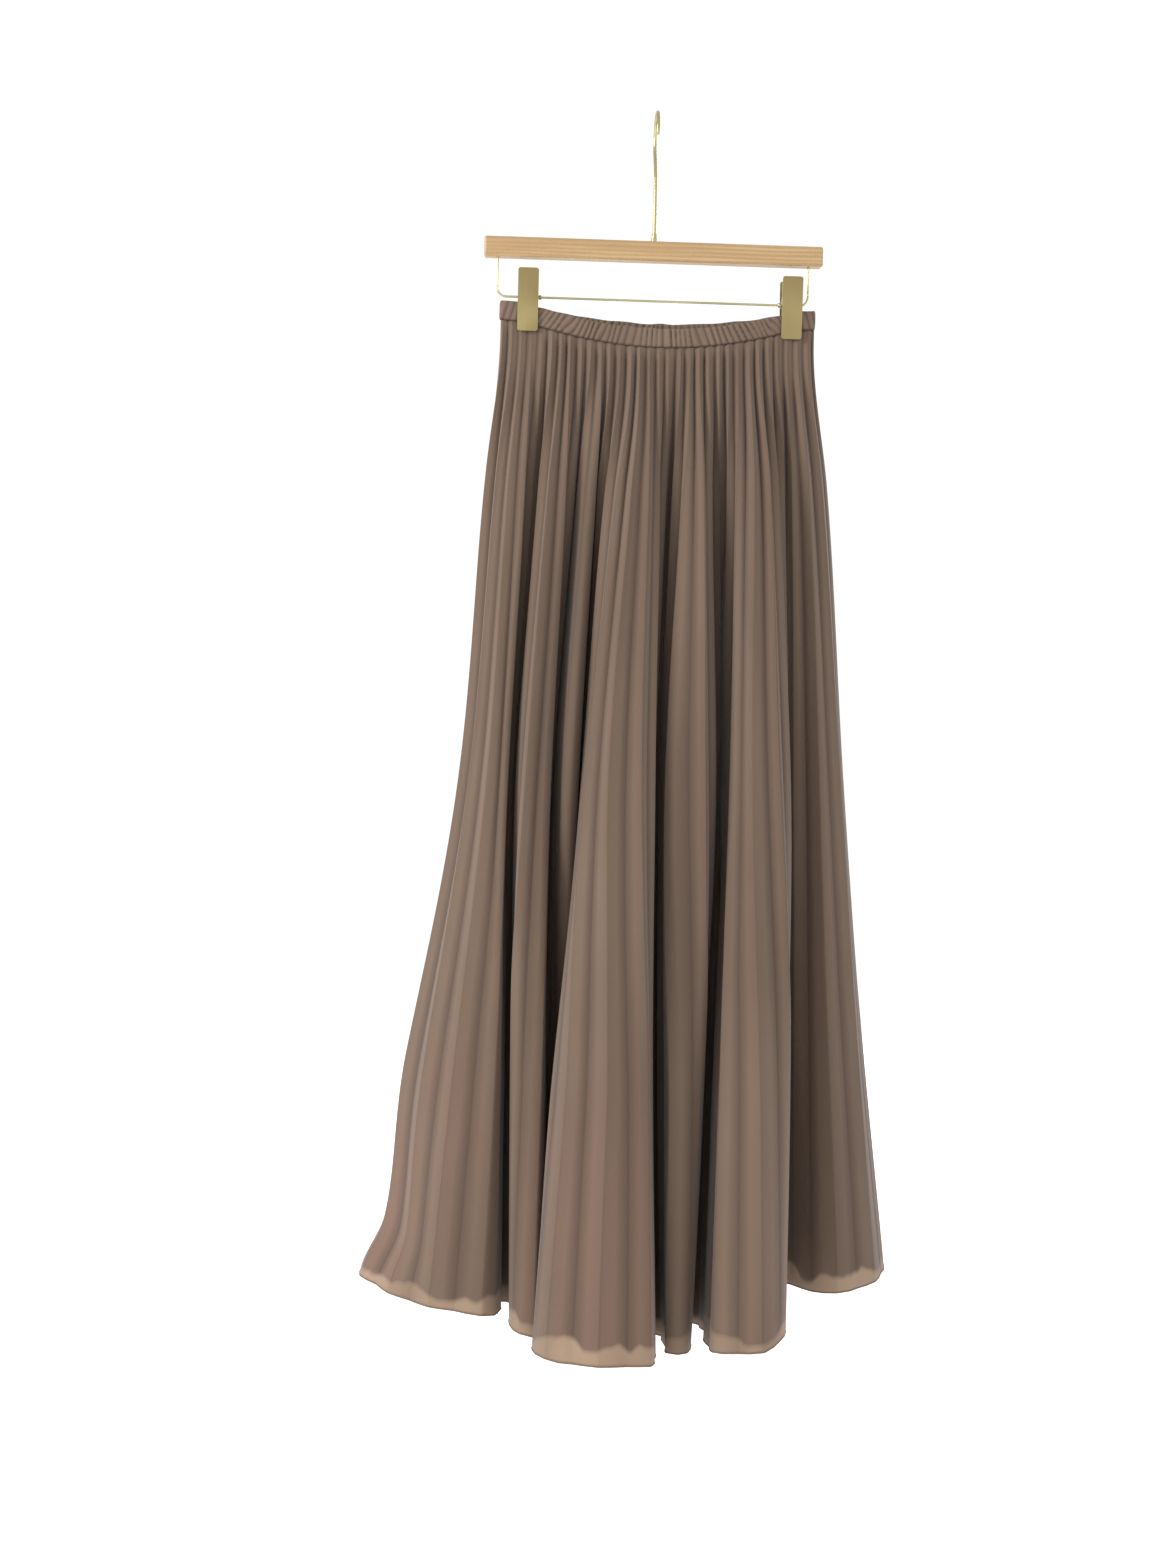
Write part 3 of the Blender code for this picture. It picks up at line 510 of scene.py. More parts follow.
def curve_through(knots, values, places):
    """Smooth curve that passes through values at knots, read at places."""
    knots = np.asarray(knots, float)
    values = np.asarray(values, float)
    gaps = np.diff(knots)[:, None]
    slopes = np.diff(values, axis=0) / gaps
    inner = (slopes[:-1] * gaps[1:] + slopes[1:] * gaps[:-1]) / (gaps[1:] + gaps[:-1])
    tangents = np.vstack([slopes[:1], inner, slopes[-1:]])
    index = np.clip(np.searchsorted(knots, places, side="right") - 1, 0, len(knots) - 2)
    gap = gaps[index]
    part = (np.asarray(places, float)[:, None] - knots[index][:, None]) / gap
    start, end = values[index], values[index + 1]
    leave, arrive = tangents[index] * gap, tangents[index + 1] * gap
    return (
        (2 * part**3 - 3 * part**2 + 1) * start
        + (part**3 - 2 * part**2 + part) * leave
        + (3 * part**2 - 2 * part**3) * end
        + (part**3 - part**2) * arrive
    )


def from_clips(x):
    """0 midway between the clips, 1 at a clip."""
    middle = (CLIP_X["left"] + CLIP_X["right"]) / 2
    half = (CLIP_X["right"] - CLIP_X["left"]) / 2
    return np.abs(np.asarray(x, float) - middle) / half


def near_clip(x):
    """1 under a clip, falling to 0 beside it."""
    x = np.asarray(x, float)
    return sum(np.exp(-(((x - place) / CLIPPED_HALF_WIDTH) ** 4)) for place in CLIP_X.values())


def waist_half_depth(x):
    opening = (WAIST_OPEN_DEPTH - WAIST_HALF_DEPTH) * np.clip(1 - from_clips(x) ** 2, 0, 1)
    free = WAIST_HALF_DEPTH + opening
    return free + (WAIST_CLIPPED_DEPTH - free) * near_clip(x)


def band_top_z(x, side):
    """Top edge of the waistband. side is -1 at the front and 1 at the back."""
    away = from_clips(x)
    sag = np.where(np.asarray(side) < 0, FRONT_SAG, BACK_SAG) * np.clip(1 - away**2, 0, 1)
    rise = END_RISE * np.clip((away - 1) / 0.2, 0, 1)
    return BAND_TOP_AT_CLIPS_Z - sag + rise


def waist_place(x_hip, side):
    """x and y on the waist line of what hangs at x_hip at the hip."""
    hip_centre = (LEFT_SIDE[1] + RIGHT_SIDE[1]) / 2
    share = WAIST_HALF_WIDTH / ((RIGHT_SIDE[1] - LEFT_SIDE[1]) / 2)
    waist = WAIST_CENTRE_X + (x_hip - hip_centre) * share
    return waist, side * float(waist_half_depth(waist))


@functools.cache
def table_stations():
    """x and y of every fold, all the way round, at each level: left side, front, right side, back.
    Then 1 for each station on a valley, and the number of the right side's station.
    """
    x_levels, y_levels, valleys = [], [], []
    groups = (((LEFT_SIDE,), 0, 1), (FRONT_FOLDS, -1, 1), ((RIGHT_SIDE,), 0, 1), (BACK_FOLDS, 1, -1))
    for rows, side, heading in groups:
        for row in rows:
            name, x_hip, x_knee, x_calf, x_hem, half_knee, half_hem, y_knee, y_hem = row
            half_hip = HIP_SHARE_OF_KNEE_HALF_WIDTH * half_knee
            half_calf = (half_knee + half_hem) / 2
            for edge in (-heading, heading) if half_knee or half_hem else (0,):
                hip = x_hip + edge * half_hip
                waist, y_waist = waist_place(hip, side)
                y_hip = y_waist + HIP_SHARE_OF_KNEE_DEPTH * y_knee
                y_calf = y_knee + CALF_SHARE_OF_HEM_DEPTH * (y_hem - y_knee)
                lower = (x_knee + edge * half_knee, x_calf + edge * half_calf, x_hem + edge * half_hem)
                x_levels.append((waist, waist, hip, *lower))
                y_levels.append((y_waist, y_waist, y_hip, y_knee, y_calf, y_hem))
                valleys.append(1.0 if "valley" in name else 0.0)
        if rows is FRONT_FOLDS:
            last_front = len(x_levels)
    return np.array(x_levels), np.array(y_levels), np.array(valleys), last_front


@functools.cache
def fold_stations():
    """The folds of the tables, moved sideways at the waist and hip so that each pleat hangs
    straight down from its place in the waist.
    """
    x_table, y_table, valleys, last_front = table_stations()
    x_levels, y_levels = x_table.copy(), y_table.copy()
    count = len(x_levels)
    for first, last, side in ((0, last_front, -1), (last_front, count, 1)):
        own = np.arange(first, last + 1) % count
        shares = np.zeros(len(own))
        for level in (3, 4, 5):
            line = np.stack([x_table[own, level], y_table[own, level]], axis=1)
            reach = np.concatenate([[0], np.cumsum(np.linalg.norm(np.diff(line, axis=0), axis=1))])
            shares += reach / reach[-1] / 3
        waist = x_table[own[0], 0] + (x_table[own[-1], 0] - x_table[own[0], 0]) * shares
        hip = waist + (x_table[own, 3] - waist) * LEVELS[2] / LEVELS[3]
        inner = own[1:-1]
        y_waist = side * waist_half_depth(waist[1:-1])
        x_levels[inner, :2] = waist[1:-1, None]
        x_levels[inner, 2] = hip[1:-1]
        y_levels[inner, :2] = y_waist[:, None]
        y_levels[inner, 2] += y_waist - y_table[inner, 0]
    return x_levels, y_levels, valleys, last_front


def hip_place(x_hip, side):
    """Where the straightened folds have what the tables hang at x_hip."""
    x_table, _, _, last_front = table_stations()
    own = slice(1, last_front) if side < 0 else slice(last_front + 1, None)
    before, after = x_table[own, 2], fold_stations()[0][own, 2]
    order = np.argsort(before)
    return float(np.interp(x_hip, before[order], after[order]))


def on_folds(down, steps):
    """Places on the smooth line of the large folds at one distance down the cloth, and its
    outward normals. A step counts the folds' stations, with fractions between them.
    """
    x_levels, y_levels, _, _ = fold_stations()
    x = curve_through(LEVELS, x_levels.T, [down])[0]
    y = curve_through(LEVELS, y_levels.T, [down])[0]
    places = np.stack([x, y], axis=1)
    ring = np.vstack([places[-2:], places, places[:3]])
    chords = np.linalg.norm(np.diff(ring, axis=0), axis=1)
    knots = np.concatenate([[0], np.cumsum(np.sqrt(chords))])
    read = np.interp(np.asarray(steps) + 2, np.arange(len(knots)), knots)
    nudge = 0.02
    along = curve_through(knots, ring, read + nudge) - curve_through(knots, ring, read - nudge)
    along /= np.linalg.norm(along, axis=1)[:, None]
    return curve_through(knots, ring, read), np.stack([along[:, 1], -along[:, 0]], axis=1)


def panel_stations(panel):
    """First and last station of the front or the back."""
    x_levels, _, _, last_front = fold_stations()
    return (0, last_front) if panel == "front" else (last_front, len(x_levels))


@functools.cache
def fold_line(down, panel):
    """Dense line of one panel's large folds: its steps, places, outward normals and reach."""
    first, last = panel_stations(panel)
    steps = np.linspace(first, last, (last - first) * SAMPLES_PER_FOLD + 1)
    line, normals = on_folds(down, steps)
    reach = np.concatenate([[0], np.cumsum(np.linalg.norm(np.diff(line, axis=0), axis=1))])
    return steps, line, normals, reach


def evenly_along(down, panel, shares):
    """Places, normals and steps at the given shares of the panel's width."""
    steps, line, normals, reach = fold_line(down, panel)
    wanted = np.asarray(shares) * reach[-1]
    places = np.stack([np.interp(wanted, reach, line[:, i]) for i in (0, 1)], axis=1)
    facing = np.stack([np.interp(wanted, reach, normals[:, i]) for i in (0, 1)], axis=1)
    facing /= np.linalg.norm(facing, axis=1)[:, None]
    return places, facing, np.interp(wanted, reach, steps)


def face_width(down):
    return FACE_AT_WAIST + (FACE_AT_HEM - FACE_AT_WAIST) * down / SKIRT_LENGTH


FACES = 2 * PLEATS_PER_PANEL


def pleat_half_height(down, panel, x):
    """How far a crease stands off the line of the large folds. Pleats are pressed flat by a clip."""
    step = fold_line(down, panel)[3][-1] / FACES
    depth = math.sqrt(max(face_width(down) ** 2 - step**2, LEAST_PLEAT_DEPTH**2))
    clipped = near_clip(x) * np.clip(2 - down / CLIPPED_LENGTH, 0, 1)
    return depth / 2 * (1 - (1 - CLIPPED_PLEAT_SHARE) * clipped)


def hang(rings, rows, side):
    """Drops the rings by the cloth's own length between them, so that no fold stretches it."""
    z = band_top_z(rings[0][:, 0], side) - BAND_HEIGHT - SEAM_GAP
    points = [np.column_stack([rings[0], z])]
    for upper, lower, above, below in zip(rings, rings[1:], rows, rows[1:]):
        sideways = np.linalg.norm(lower - upper, axis=1)
        z = z - np.sqrt((below - above) ** 2 - np.minimum(sideways, 0.9 * (below - above)) ** 2)
        points.append(np.column_stack([lower, z]))
    return np.array(points)


def closed_ring(points):
    """Rows round a ring with their first point again at the end, a seam's gap short of it."""
    points = np.concatenate([points, points[:, :1]], axis=1)
    towards = points[:, -2] - points[:, -1]
    points[:, -1] += towards / np.linalg.norm(towards, axis=1)[:, None] * SEAM_GAP
    return points


# Pleated cloth

CLOTH_ROWS = np.concatenate(
    [np.linspace(0, 60, 21), np.linspace(60, 960, 96)[1:], np.linspace(960, SKIRT_LENGTH, 26)[1:]]
)
FACE_CUTS = (0.0, 0.07, 0.5, 0.93)
CREASE_UNEVENNESS = 0.16
WAIST_UNEVENNESS = 0.5
FACE_DRIFT = 0.05
WAIST_DRIFT = 0.22
UNEVEN_LENGTH = 420.0
STITCHED_SHARE = 0.35
STITCHED_LENGTH = 16.0
MEAN_FACE = 17.0
CREASE_LINE_WIDTH = 0.9
STRAIGHT_SHARE = 0.6
VALLEY_SHADE_LENGTH = 220.0

# The left edge hangs narrow to a hand's breadth above the hem and then flares out
FLARE_DEPTH = 13.0
FLARE_STARTS = 780.0
FLARE_NARROWEST = 965.0
FLARE_INNER_X = -195.0
FLARE_WIDTH = 70.0

# How much higher the cloth was cut at places across the hem: x, rise at the front and at the back
HEM_RISES = (
    (-290, 9, 9),
    (-140, 10, 8),
    (-105, 5, 8),
    (-75, 0, 8),
    (130, 0, 8),
    (172, 14, 8),
    (200, 13, 8),
    (290, 12, 12),
)
HEM_RISE_STARTS = 500.0


def pleat_columns():
    """Where the columns of a panel lie, counted in pleat faces from its left seam: close to each
    crease and in the middle of each face.
    """
    counted = [crease + 0.5 + cut for crease in range(-1, FACES) for cut in FACE_CUTS]
    return np.array([0.0] + [c for c in counted if 0.0 < c < FACES] + [float(FACES)])


def crease_wave(counted):
    """1 on a ridge, -1 in the hollow of a pleat. The creases are crisp and the faces bow a little."""
    turn = counted - 0.5
    return 0.86 * (2 * np.abs(turn % 2 - 1) - 1) + 0.14 * np.cos(math.pi * turn)


def eased(share):
    """Smooth step from 0 to 1."""
    share = np.clip(share, 0, 1)
    return share * share * (3 - 2 * share)


def flare_inset(down, x):
    """How far the left edge lies inside its straight line, so that its last stretch flares."""
    inset = eased((down - FLARE_STARTS) / (FLARE_NARROWEST - FLARE_STARTS))
    inset = inset * (1 - eased((down - FLARE_NARROWEST) / (SKIRT_LENGTH - FLARE_NARROWEST)))
    return FLARE_DEPTH * inset * eased((FLARE_INNER_X - np.asarray(x)) / FLARE_WIDTH)


def skirt_panel(panel, seed):
    side = -1 if panel == "front" else 1
    random = np.random.default_rng(seed)
    counted = pleat_columns()
    uneven = random.uniform(-1, 1, (3, FACES + 1))
    phase = random.uniform(0, 2 * math.pi, (2, FACES + 1))
    number = np.clip(np.round(counted - 0.5).astype(int), 0, FACES)
    from_seam = np.clip(np.minimum(counted, FACES - counted), 0, 1)
    valleys = fold_stations()[2]
    valleys = np.append(valleys, valleys[0])
    rings, valley_shade, hollow_shade, crease_shade = [], [], [], []
    even = counted / FACES
    at_waist, at_hem = (evenly_along(down, panel, even)[2] for down in (0.0, SKIRT_LENGTH))
    for down in CLOTH_ROWS:
        lower = down / SKIRT_LENGTH
        upper = max(1 - down / UNEVEN_LENGTH, 0) ** 1.5
        drift = FACE_DRIFT * np.sin(2 * math.pi * lower * (1.2 + uneven[2]) + phase[0])
        drift = drift + WAIST_DRIFT * upper * uneven[1]
        shares = (counted + from_seam * np.interp(counted - 0.5, np.arange(FACES + 1), drift)) / FACES
        straight = at_waist + (at_hem - at_waist) * lower
        steps = evenly_along(down, panel, shares)[2]
        steps = steps + STRAIGHT_SHARE * (straight - evenly_along(down, panel, even)[2])
        places, facing = on_folds(down, steps)
        places[:, 0] += flare_inset(down, places[:, 0])
        height = pleat_half_height(down, panel, places[:, 0])
        height = height * (STITCHED_SHARE + (1 - STITCHED_SHARE) * eased(down / STITCHED_LENGTH))
        uneven_height = uneven[0] + 0.6 * np.sin(2 * math.pi * lower * 1.7 + phase[1])
        unevenness = CREASE_UNEVENNESS + (WAIST_UNEVENNESS - CREASE_UNEVENNESS) * upper
        height = height * (1 + unevenness * uneven_height[number])
        wave = crease_wave(counted)
        rings.append(places + facing * (height * wave)[:, None])
        # Numbers for the cloth's painted shade: at the feet of the large folds, in the hollows of the
        # pleats and along the creases
        shade = np.interp(steps, np.arange(len(valleys)), valleys) ** 1.5
        valley_shade.append(shade * min(down / VALLEY_SHADE_LENGTH, 1))
        hollow_shade.append((0.5 - 0.5 * wave) ** 1.3)
        beside = np.abs((counted - 0.5) - np.round(counted - 0.5)) * face_width(down)
        crease_shade.append(np.clip(1 - beside / (CREASE_LINE_WIDTH + 0.12 * face_width(down)), 0, 1))
    points = hang(rings, CLOTH_ROWS, np.full(len(counted), side))
    rises = np.array(HEM_RISES, float)
    rise = np.interp(points[-1, :, 0], rises[:, 0], rises[:, 1 if side < 0 else 2])
    low = eased((CLOTH_ROWS - HEM_RISE_STARTS) / (SKIRT_LENGTH - HEM_RISE_STARTS))
    points[:, :, 2] += low[:, None] * rise
    across = counted[None, :] * face_width(CLOTH_ROWS)[:, None] * MM
    values = {
        "down": np.repeat(CLOTH_ROWS[:, None] * MM, len(counted), axis=1),
        "across": across,
        "pleat": np.repeat(counted[None, :] * MEAN_FACE * MM, len(CLOTH_ROWS), axis=0),
        "valley": valley_shade,
        "hollow": hollow_shade,
        "crease": crease_shade,
    }
    cloth = sheet_of(f"pleated_cloth_{panel}", points, values, CHIFFON, (f"skirt_{panel}",))
    roll = wire(
        f"hem_roll_{panel}", points[-1], HEM_ROLL_RADIUS, CHIFFON, (), group=cloth_group
    )
    return cloth, roll


# Lining


@functools.cache
def lining_stations():
    """x and y at each level of the corners of the plain lining, and what each is: -1 or 1 for a
    valley's foot at the front or back, -2 or 2 for a belly there, 0 for the two ends.
    """
    x_levels, y_levels, kinds = [], [], []
    groups = (((LEFT_SIDE,), 0), (FRONT_FOLDS, -1), ((RIGHT_SIDE,), 0), (BACK_FOLDS, 1))
    for rows, side in groups:
        for row in rows:
            name, x_hip, x_knee, x_calf, x_hem, half_knee, half_hem, y_knee, y_hem = row
            belly = name.endswith("_flute") and name not in ("narrow_flute", "inner_flute", "shaded_flute")
            if side and "valley" not in name and not belly:
                continue
            waist, y_waist = waist_place(x_hip, side)
            y_hip = y_waist + HIP_SHARE_OF_KNEE_DEPTH * y_knee
            y_calf = y_knee + CALF_SHARE_OF_HEM_DEPTH * (y_hem - y_knee)
            hip = hip_place(x_hip, side) if side else x_hip
            x = np.array((waist, waist, hip, x_knee, x_calf, x_hem))
            widths = (half_knee, half_knee, half_knee, half_knee, (half_knee + half_hem) / 2, half_hem)
            beside = np.array(widths) + LINING_BESIDE_FEET
            if "valley" in name:
                before = 0 if name == LINING_NARROW_FOOT else 1
                edges = (side * beside * before, -side * beside)
            elif side:
                edges = (0 * beside,)
            else:
                edges = (0 * beside - math.copysign(LINING_INSIDE_SIDES, x_hip),)
            for edge in edges:
                x_levels.append(x + edge)
                y_levels.append(np.array((y_waist, y_waist, y_hip, y_knee, y_calf, y_hem)))
                kinds.append(side if "valley" in name else 2 * side)
    x_levels, y_levels, kinds = np.array(x_levels), np.array(y_levels), np.array(kinds)
    bellies = np.abs(kinds)[:, None] == 2
    x_between = (np.roll(x_levels, 1, axis=0) + np.roll(x_levels, -1, axis=0)) / 2
    y_between = (np.roll(y_levels, 1, axis=0) + np.roll(y_levels, -1, axis=0)) / 2
    y_belly = y_between + LINING_BELLY_SHARE * (y_levels - y_between)
    return np.where(bellies, x_between, x_levels), np.where(bellies, y_belly, y_levels), kinds


def lining_side():
    """-1 for each of the lining's front columns, 1 for the back's and 0 at its two ends."""
    kinds = lining_stations()[2]
    steps = np.arange(len(kinds) * LINING_COLUMNS) / LINING_COLUMNS
    right = np.flatnonzero(kinds == 0)[1]
    side = np.where(steps < right, -1.0, 1.0)
    return np.where((steps == 0) | (steps == right), 0.0, side)


def kept_apart(ring, side):
    """The ring with its front and back eased away from each other where they would touch."""
    eased = ring.copy()
    for own, sign in ((side < 0, -1), (side > 0, 1)):
        other = ring[side == -sign]
        other = other[np.argsort(other[:, 0])]
        apart = sign * (ring[own, 1] - np.interp(ring[own, 0], other[:, 0], other[:, 1]))
        eased[own, 1] += sign * np.maximum(LINING_LEAST_DEPTH - apart, 0) / 2
    return eased


def lining_ring(down):
    """Plain inner ring: open a little at the waist, then hanging inside the large folds."""
    x_levels, y_levels, kinds = lining_stations()
    x = curve_through(LEVELS, x_levels.T, [down])[0]
    y = curve_through(LEVELS, y_levels.T, [down])[0]
    clear = curve_through(LEVELS, np.array(LINING_CLEARANCES)[:, None], [down])[0, 0]
    for panel, side in (("front", -1), ("back", 1)):
        own = np.sign(kinds) == side
        y[own] -= side * (clear + pleat_half_height(down, panel, x[own]))
    corners = np.arange(len(kinds) + 1)
    steps = np.arange(len(kinds) * LINING_COLUMNS) / LINING_COLUMNS
    x = np.interp(steps, corners, np.append(x, x[0]))
    y = np.interp(steps, corners, np.append(y, y[0]))
    for _ in range(4):
        x = (np.roll(x, 1) + 2 * x + np.roll(x, -1)) / 4
        y = (np.roll(y, 1) + 2 * y + np.roll(y, -1)) / 4
    flat_x = WAIST_CENTRE_X + (x - WAIST_CENTRE_X) * (1 - LINING_NARROWER / WAIST_HALF_WIDTH)
    half_depth = np.maximum(waist_half_depth(flat_x) - LINING_BEHIND_BAND, LINING_HALF_DEPTH)
    flat = np.stack([flat_x, lining_side() * half_depth], axis=1)
    ring = flat + (np.stack([x, y], axis=1) - flat) * min(down / LINING_FREE_LENGTH, 1.0)
    return kept_apart(ring, lining_side())


def lining():
    rows = np.linspace(0, SKIRT_LENGTH - LINING_SHORTER, 110)
    rings = [lining_ring(down) for down in rows]
    points = closed_ring(hang(rings, rows, lining_side()))
    widths = np.linalg.norm(np.diff(points, axis=1), axis=2)
    across = np.concatenate([np.zeros((len(rows), 1)), np.cumsum(widths, axis=1)], axis=1) * MM
    values = {"down": np.repeat(rows[:, None] * MM, points.shape[1], axis=1), "across": across}
    return sheet_of("lining_cloth", points, values, LINING, LINING_NODES)


# Waistband

# Cross-section of the folded strip, from its inner lower edge over the top to its outer one:
# distance outwards from the band's middle and distance below its top
BAND_SECTION = (
    (-0.5, 20.0),
    (-0.9, 18.0),
    (-1.1, 12.0),
    (-1.1, 5.0),
    (-1.0, 1.5),
    (-0.6, 0.4),
    (0.0, 0.0),
    (0.6, 0.4),
    (1.0, 1.5),
    (1.25, 4.0),
    (1.3, 8.0),
    (1.3, 12.0),
    (1.2, 16.0),
    (0.9, 18.6),
    (0.5, 20.0),
)
BAND_COLUMNS = 640
BAND_ROWS = 40


def waistband():
    """Elastic casing: a strip folded over at the top, gathered in uneven slanting ruffles."""
    random = np.random.default_rng(11)
    knots = np.linspace(0, 1, len(BAND_SECTION))
    section = curve_through(knots, BAND_SECTION, np.linspace(0, 1, BAND_ROWS))
    halves = []
    for panel in ("front", "back"):
        shares = np.linspace(0, 1, BAND_COLUMNS // 2 + 1)[:-1]
        places, facing, _ = evenly_along(0.0, panel, shares)
        side = np.full(len(shares), -1.0 if panel == "front" else 1.0)
        halves.append((places, facing, side))
    places, facing, side = (np.concatenate(parts) for parts in zip(*halves))
    steps = np.linalg.norm(np.diff(places, axis=0), axis=1)
    reach = np.concatenate([[0], np.cumsum(steps)])
    top = band_top_z(places[:, 0], side)
    slope = np.gradient(top, reach)
    knots = np.linspace(0, reach[-1], 60)
    uneven = curve_through(knots, random.uniform(-1, 1, (60, 3)), reach)
    rows = []
    gather_shade = []
    for out, below in section:
        lean = GATHER_SLANT * slope * (BAND_HEIGHT - below)
        phase = (reach + lean + GATHER_WANDER * uneven[:, 0]) / GATHER_PITCH
        ruffle = np.abs(np.sin(math.pi * phase)) ** 0.6
        fine = 0.25 * np.sin(2 * math.pi * phase * 2.3 + 3 * uneven[:, 2])
        share = 0.75 + 0.5 * uneven[:, 1]
        depth = GATHER_DEPTH * share * (1 - (1 - CLIPPED_PLEAT_SHARE) * near_clip(places[:, 0]))
        outer = np.clip(out + 0.3, -1, 1)
        offset = out + outer * depth * (ruffle - 0.75 + 0.3 * fine)
        z = top - below + 0.6 * uneven[:, 2] * (below < 3)
        rows.append(np.column_stack([places + facing * offset[:, None], z]))
        # Painted shade in the hollows of the gathers
        gather_shade.append(1.8 * (1 - ruffle))
    points = closed_ring(np.array(rows))
    gather_shade = np.concatenate([gather_shade, np.array(gather_shade)[:, :1]], axis=1)
    across = np.append(reach, reach[-1] + 1.0) * MM
    shape = points.shape[:2]
    values = {
        "down": np.repeat(-section[:, 1:2] * MM, shape[1], axis=1),
        "across": np.repeat(across[None, :], shape[0], axis=0),
        "pleat": np.repeat(across[None, :], shape[0], axis=0),
        "hollow": gather_shade,
        "valley": np.zeros(shape),
        # Painted shade along the band's lower edge, where it meets the skirt
        "crease": np.repeat(1.8 * np.clip((section[:, 1:2] - 17.6) / 2.0, 0, 1), shape[1], axis=1),
    }
    return sheet_of("gathered_waistband", points, values, CHIFFON, ("waistband",))


# Hanger


def bar():
    mesh = bmesh.new()
    bmesh.ops.create_cube(mesh, size=1.0)
    bmesh.ops.scale(mesh, vec=(BAR_LENGTH, BAR_DEPTH, BAR_HEIGHT), verts=mesh.verts)
    bmesh.ops.translate(mesh, vec=(0, 0, BAR_TOP_Z - BAR_HEIGHT / 2), verts=mesh.verts)
    bmesh.ops.bevel(
        mesh, geom=mesh.edges[:], offset=BAR_EDGE_RADIUS,
        affect="EDGES", segments=6, profile=0.5, material=-1,
    )
    return finished("wooden_bar", mesh, hardware_group, BEECH, ("hanger_bar",))


def hook():
    """Round hook in the front-to-back plane, its mouth at the front, on a straight stem."""
    radius = HOOK_INNER_RADIUS + HOOK_WIRE_RADIUS
    bend = arc((0, -HOOK_INNER_RADIUS), radius, HOOK_TIP_ANGLE, HOOK_LEAVING_ANGLE, 72)
    leave_z = bend[-1][1]
    stem_top = (0.0, HOOK_STEM_TOP_Z)
    through = (bend[-4], bend[-1], stem_top, (0.0, HOOK_STEM_TOP_Z - (leave_z - HOOK_STEM_TOP_Z)))
    turn = curve_through((0.0, 1.0, 2.0, 3.0), through, np.linspace(1.08, 2.0, 16))
    path = bend + [tuple(place) for place in turn] + [(0.0, BAR_TOP_Z + SEAM_GAP)]
    radii = np.ones(len(path))
    radii[:3] = (0.45, 0.85, 0.98)
    points = [(0, y, z) for y, z in path]
    return wire("hook_wire", points, HOOK_WIRE_RADIUS, PALE_BRASS, ("hook",), radii=radii)


def turned(name, outline, centre, axis, material, replaces):
    """Ring turned from a closed outline of (radius, height) pairs."""
    mesh = bmesh.new()
    corners = [mesh.verts.new((radius, 0, height)) for radius, height in outline]
    edges = [mesh.edges.new(pair) for pair in zip(corners, corners[1:] + corners[:1])]
    bmesh.ops.spin(
        mesh, geom=corners + edges, cent=(0, 0, 0), axis=(0, 0, 1),
        angle=2 * math.pi, steps=48, use_merge=True,
    )
    turn = Vector((0, 0, 1)).rotation_difference(Vector(axis)).to_matrix()
    bmesh.ops.rotate(mesh, cent=(0, 0, 0), matrix=turn, verts=mesh.verts)
    bmesh.ops.translate(mesh, vec=centre, verts=mesh.verts)
    bmesh.ops.recalc_face_normals(mesh, faces=mesh.faces)
    return finished(name, mesh, hardware_group, material, replaces)


def ferrule():
    """Small flared cup where the stem goes into the bar, with a rounded lip."""
    inner = HOOK_WIRE_RADIUS + 0.15
    outline = (
        (inner, FERRULE_HEIGHT),
        (inner + 0.45, FERRULE_HEIGHT - 0.1),
        (inner + 0.6, FERRULE_HEIGHT - 0.6),
        (inner + 0.75, 5.0),
        (FERRULE_RADIUS - 0.2, 2.0),
        (FERRULE_RADIUS, 1.2),
        (FERRULE_RADIUS, 0.6),
        (FERRULE_RADIUS - 0.2, SEAM_GAP),
        (inner, SEAM_GAP),
    )
    return turned(
        "stem_ferrule", outline, (0, 0, BAR_TOP_Z), (0, 0, 1), PALE_BRASS, ("hook_ferrule",)
    )


def rail():
    corner = RAIL_WIRE_CORNER_RADIUS
    inner = RAIL_WIRE_HALF_SPAN - corner
    leg_top = BAR_TOP_Z - BAR_HEIGHT - SEAM_GAP
    left = arc((-inner, RAIL_WIRE_Z + corner), corner, 180, 270, 16)
    right = arc((inner, RAIL_WIRE_Z + corner), corner, 270, 360, 16)
    path = [(-RAIL_WIRE_HALF_SPAN, leg_top)] + left + right + [(RAIL_WIRE_HALF_SPAN, leg_top)]
    points = [(x, 0, z) for x, z in path]
    return wire("clip_rail", points, RAIL_WIRE_RADIUS, PALE_BRASS, ("rail_wire",))


def coil(name, x, radius, length, turns, replaces):
    """Close coil of wire round the rail."""
    steps = int(turns * 20)
    points = []
    for i in range(steps + 1):
        turn = 2 * math.pi * turns * i / steps
        along = x - length / 2 + COIL_GAUGE + (length - 2 * COIL_GAUGE) * i / steps
        points.append((along, radius * math.cos(turn), RAIL_WIRE_Z + radius * math.sin(turn)))
    return wire(name, points, COIL_GAUGE, SPRING_STEEL, replaces)


def lug(mesh, x, front, reach):
    """Ear of a jaw: it narrows from the plate to a round eye on the wire."""
    outline = [(reach, RAIL_WIRE_Z + LUG_ABOVE_WIRE), (reach, RAIL_WIRE_Z - LUG_BELOW_WIRE)]
    outline += [(-y, z) for y, z in arc((0, RAIL_WIRE_Z), LUG_RADIUS, -62, 62, 14)]
    corners = [mesh.verts.new((x - LUG_THICKNESS / 2, front * y, z)) for y, z in outline]
    face = mesh.faces.new(corners)
    moved = bmesh.ops.extrude_face_region(mesh, geom=[face])["geom"]
    moved = [part for part in moved if isinstance(part, bmesh.types.BMVert)]
    bmesh.ops.translate(mesh, vec=(LUG_THICKNESS, 0, 0), verts=moved)


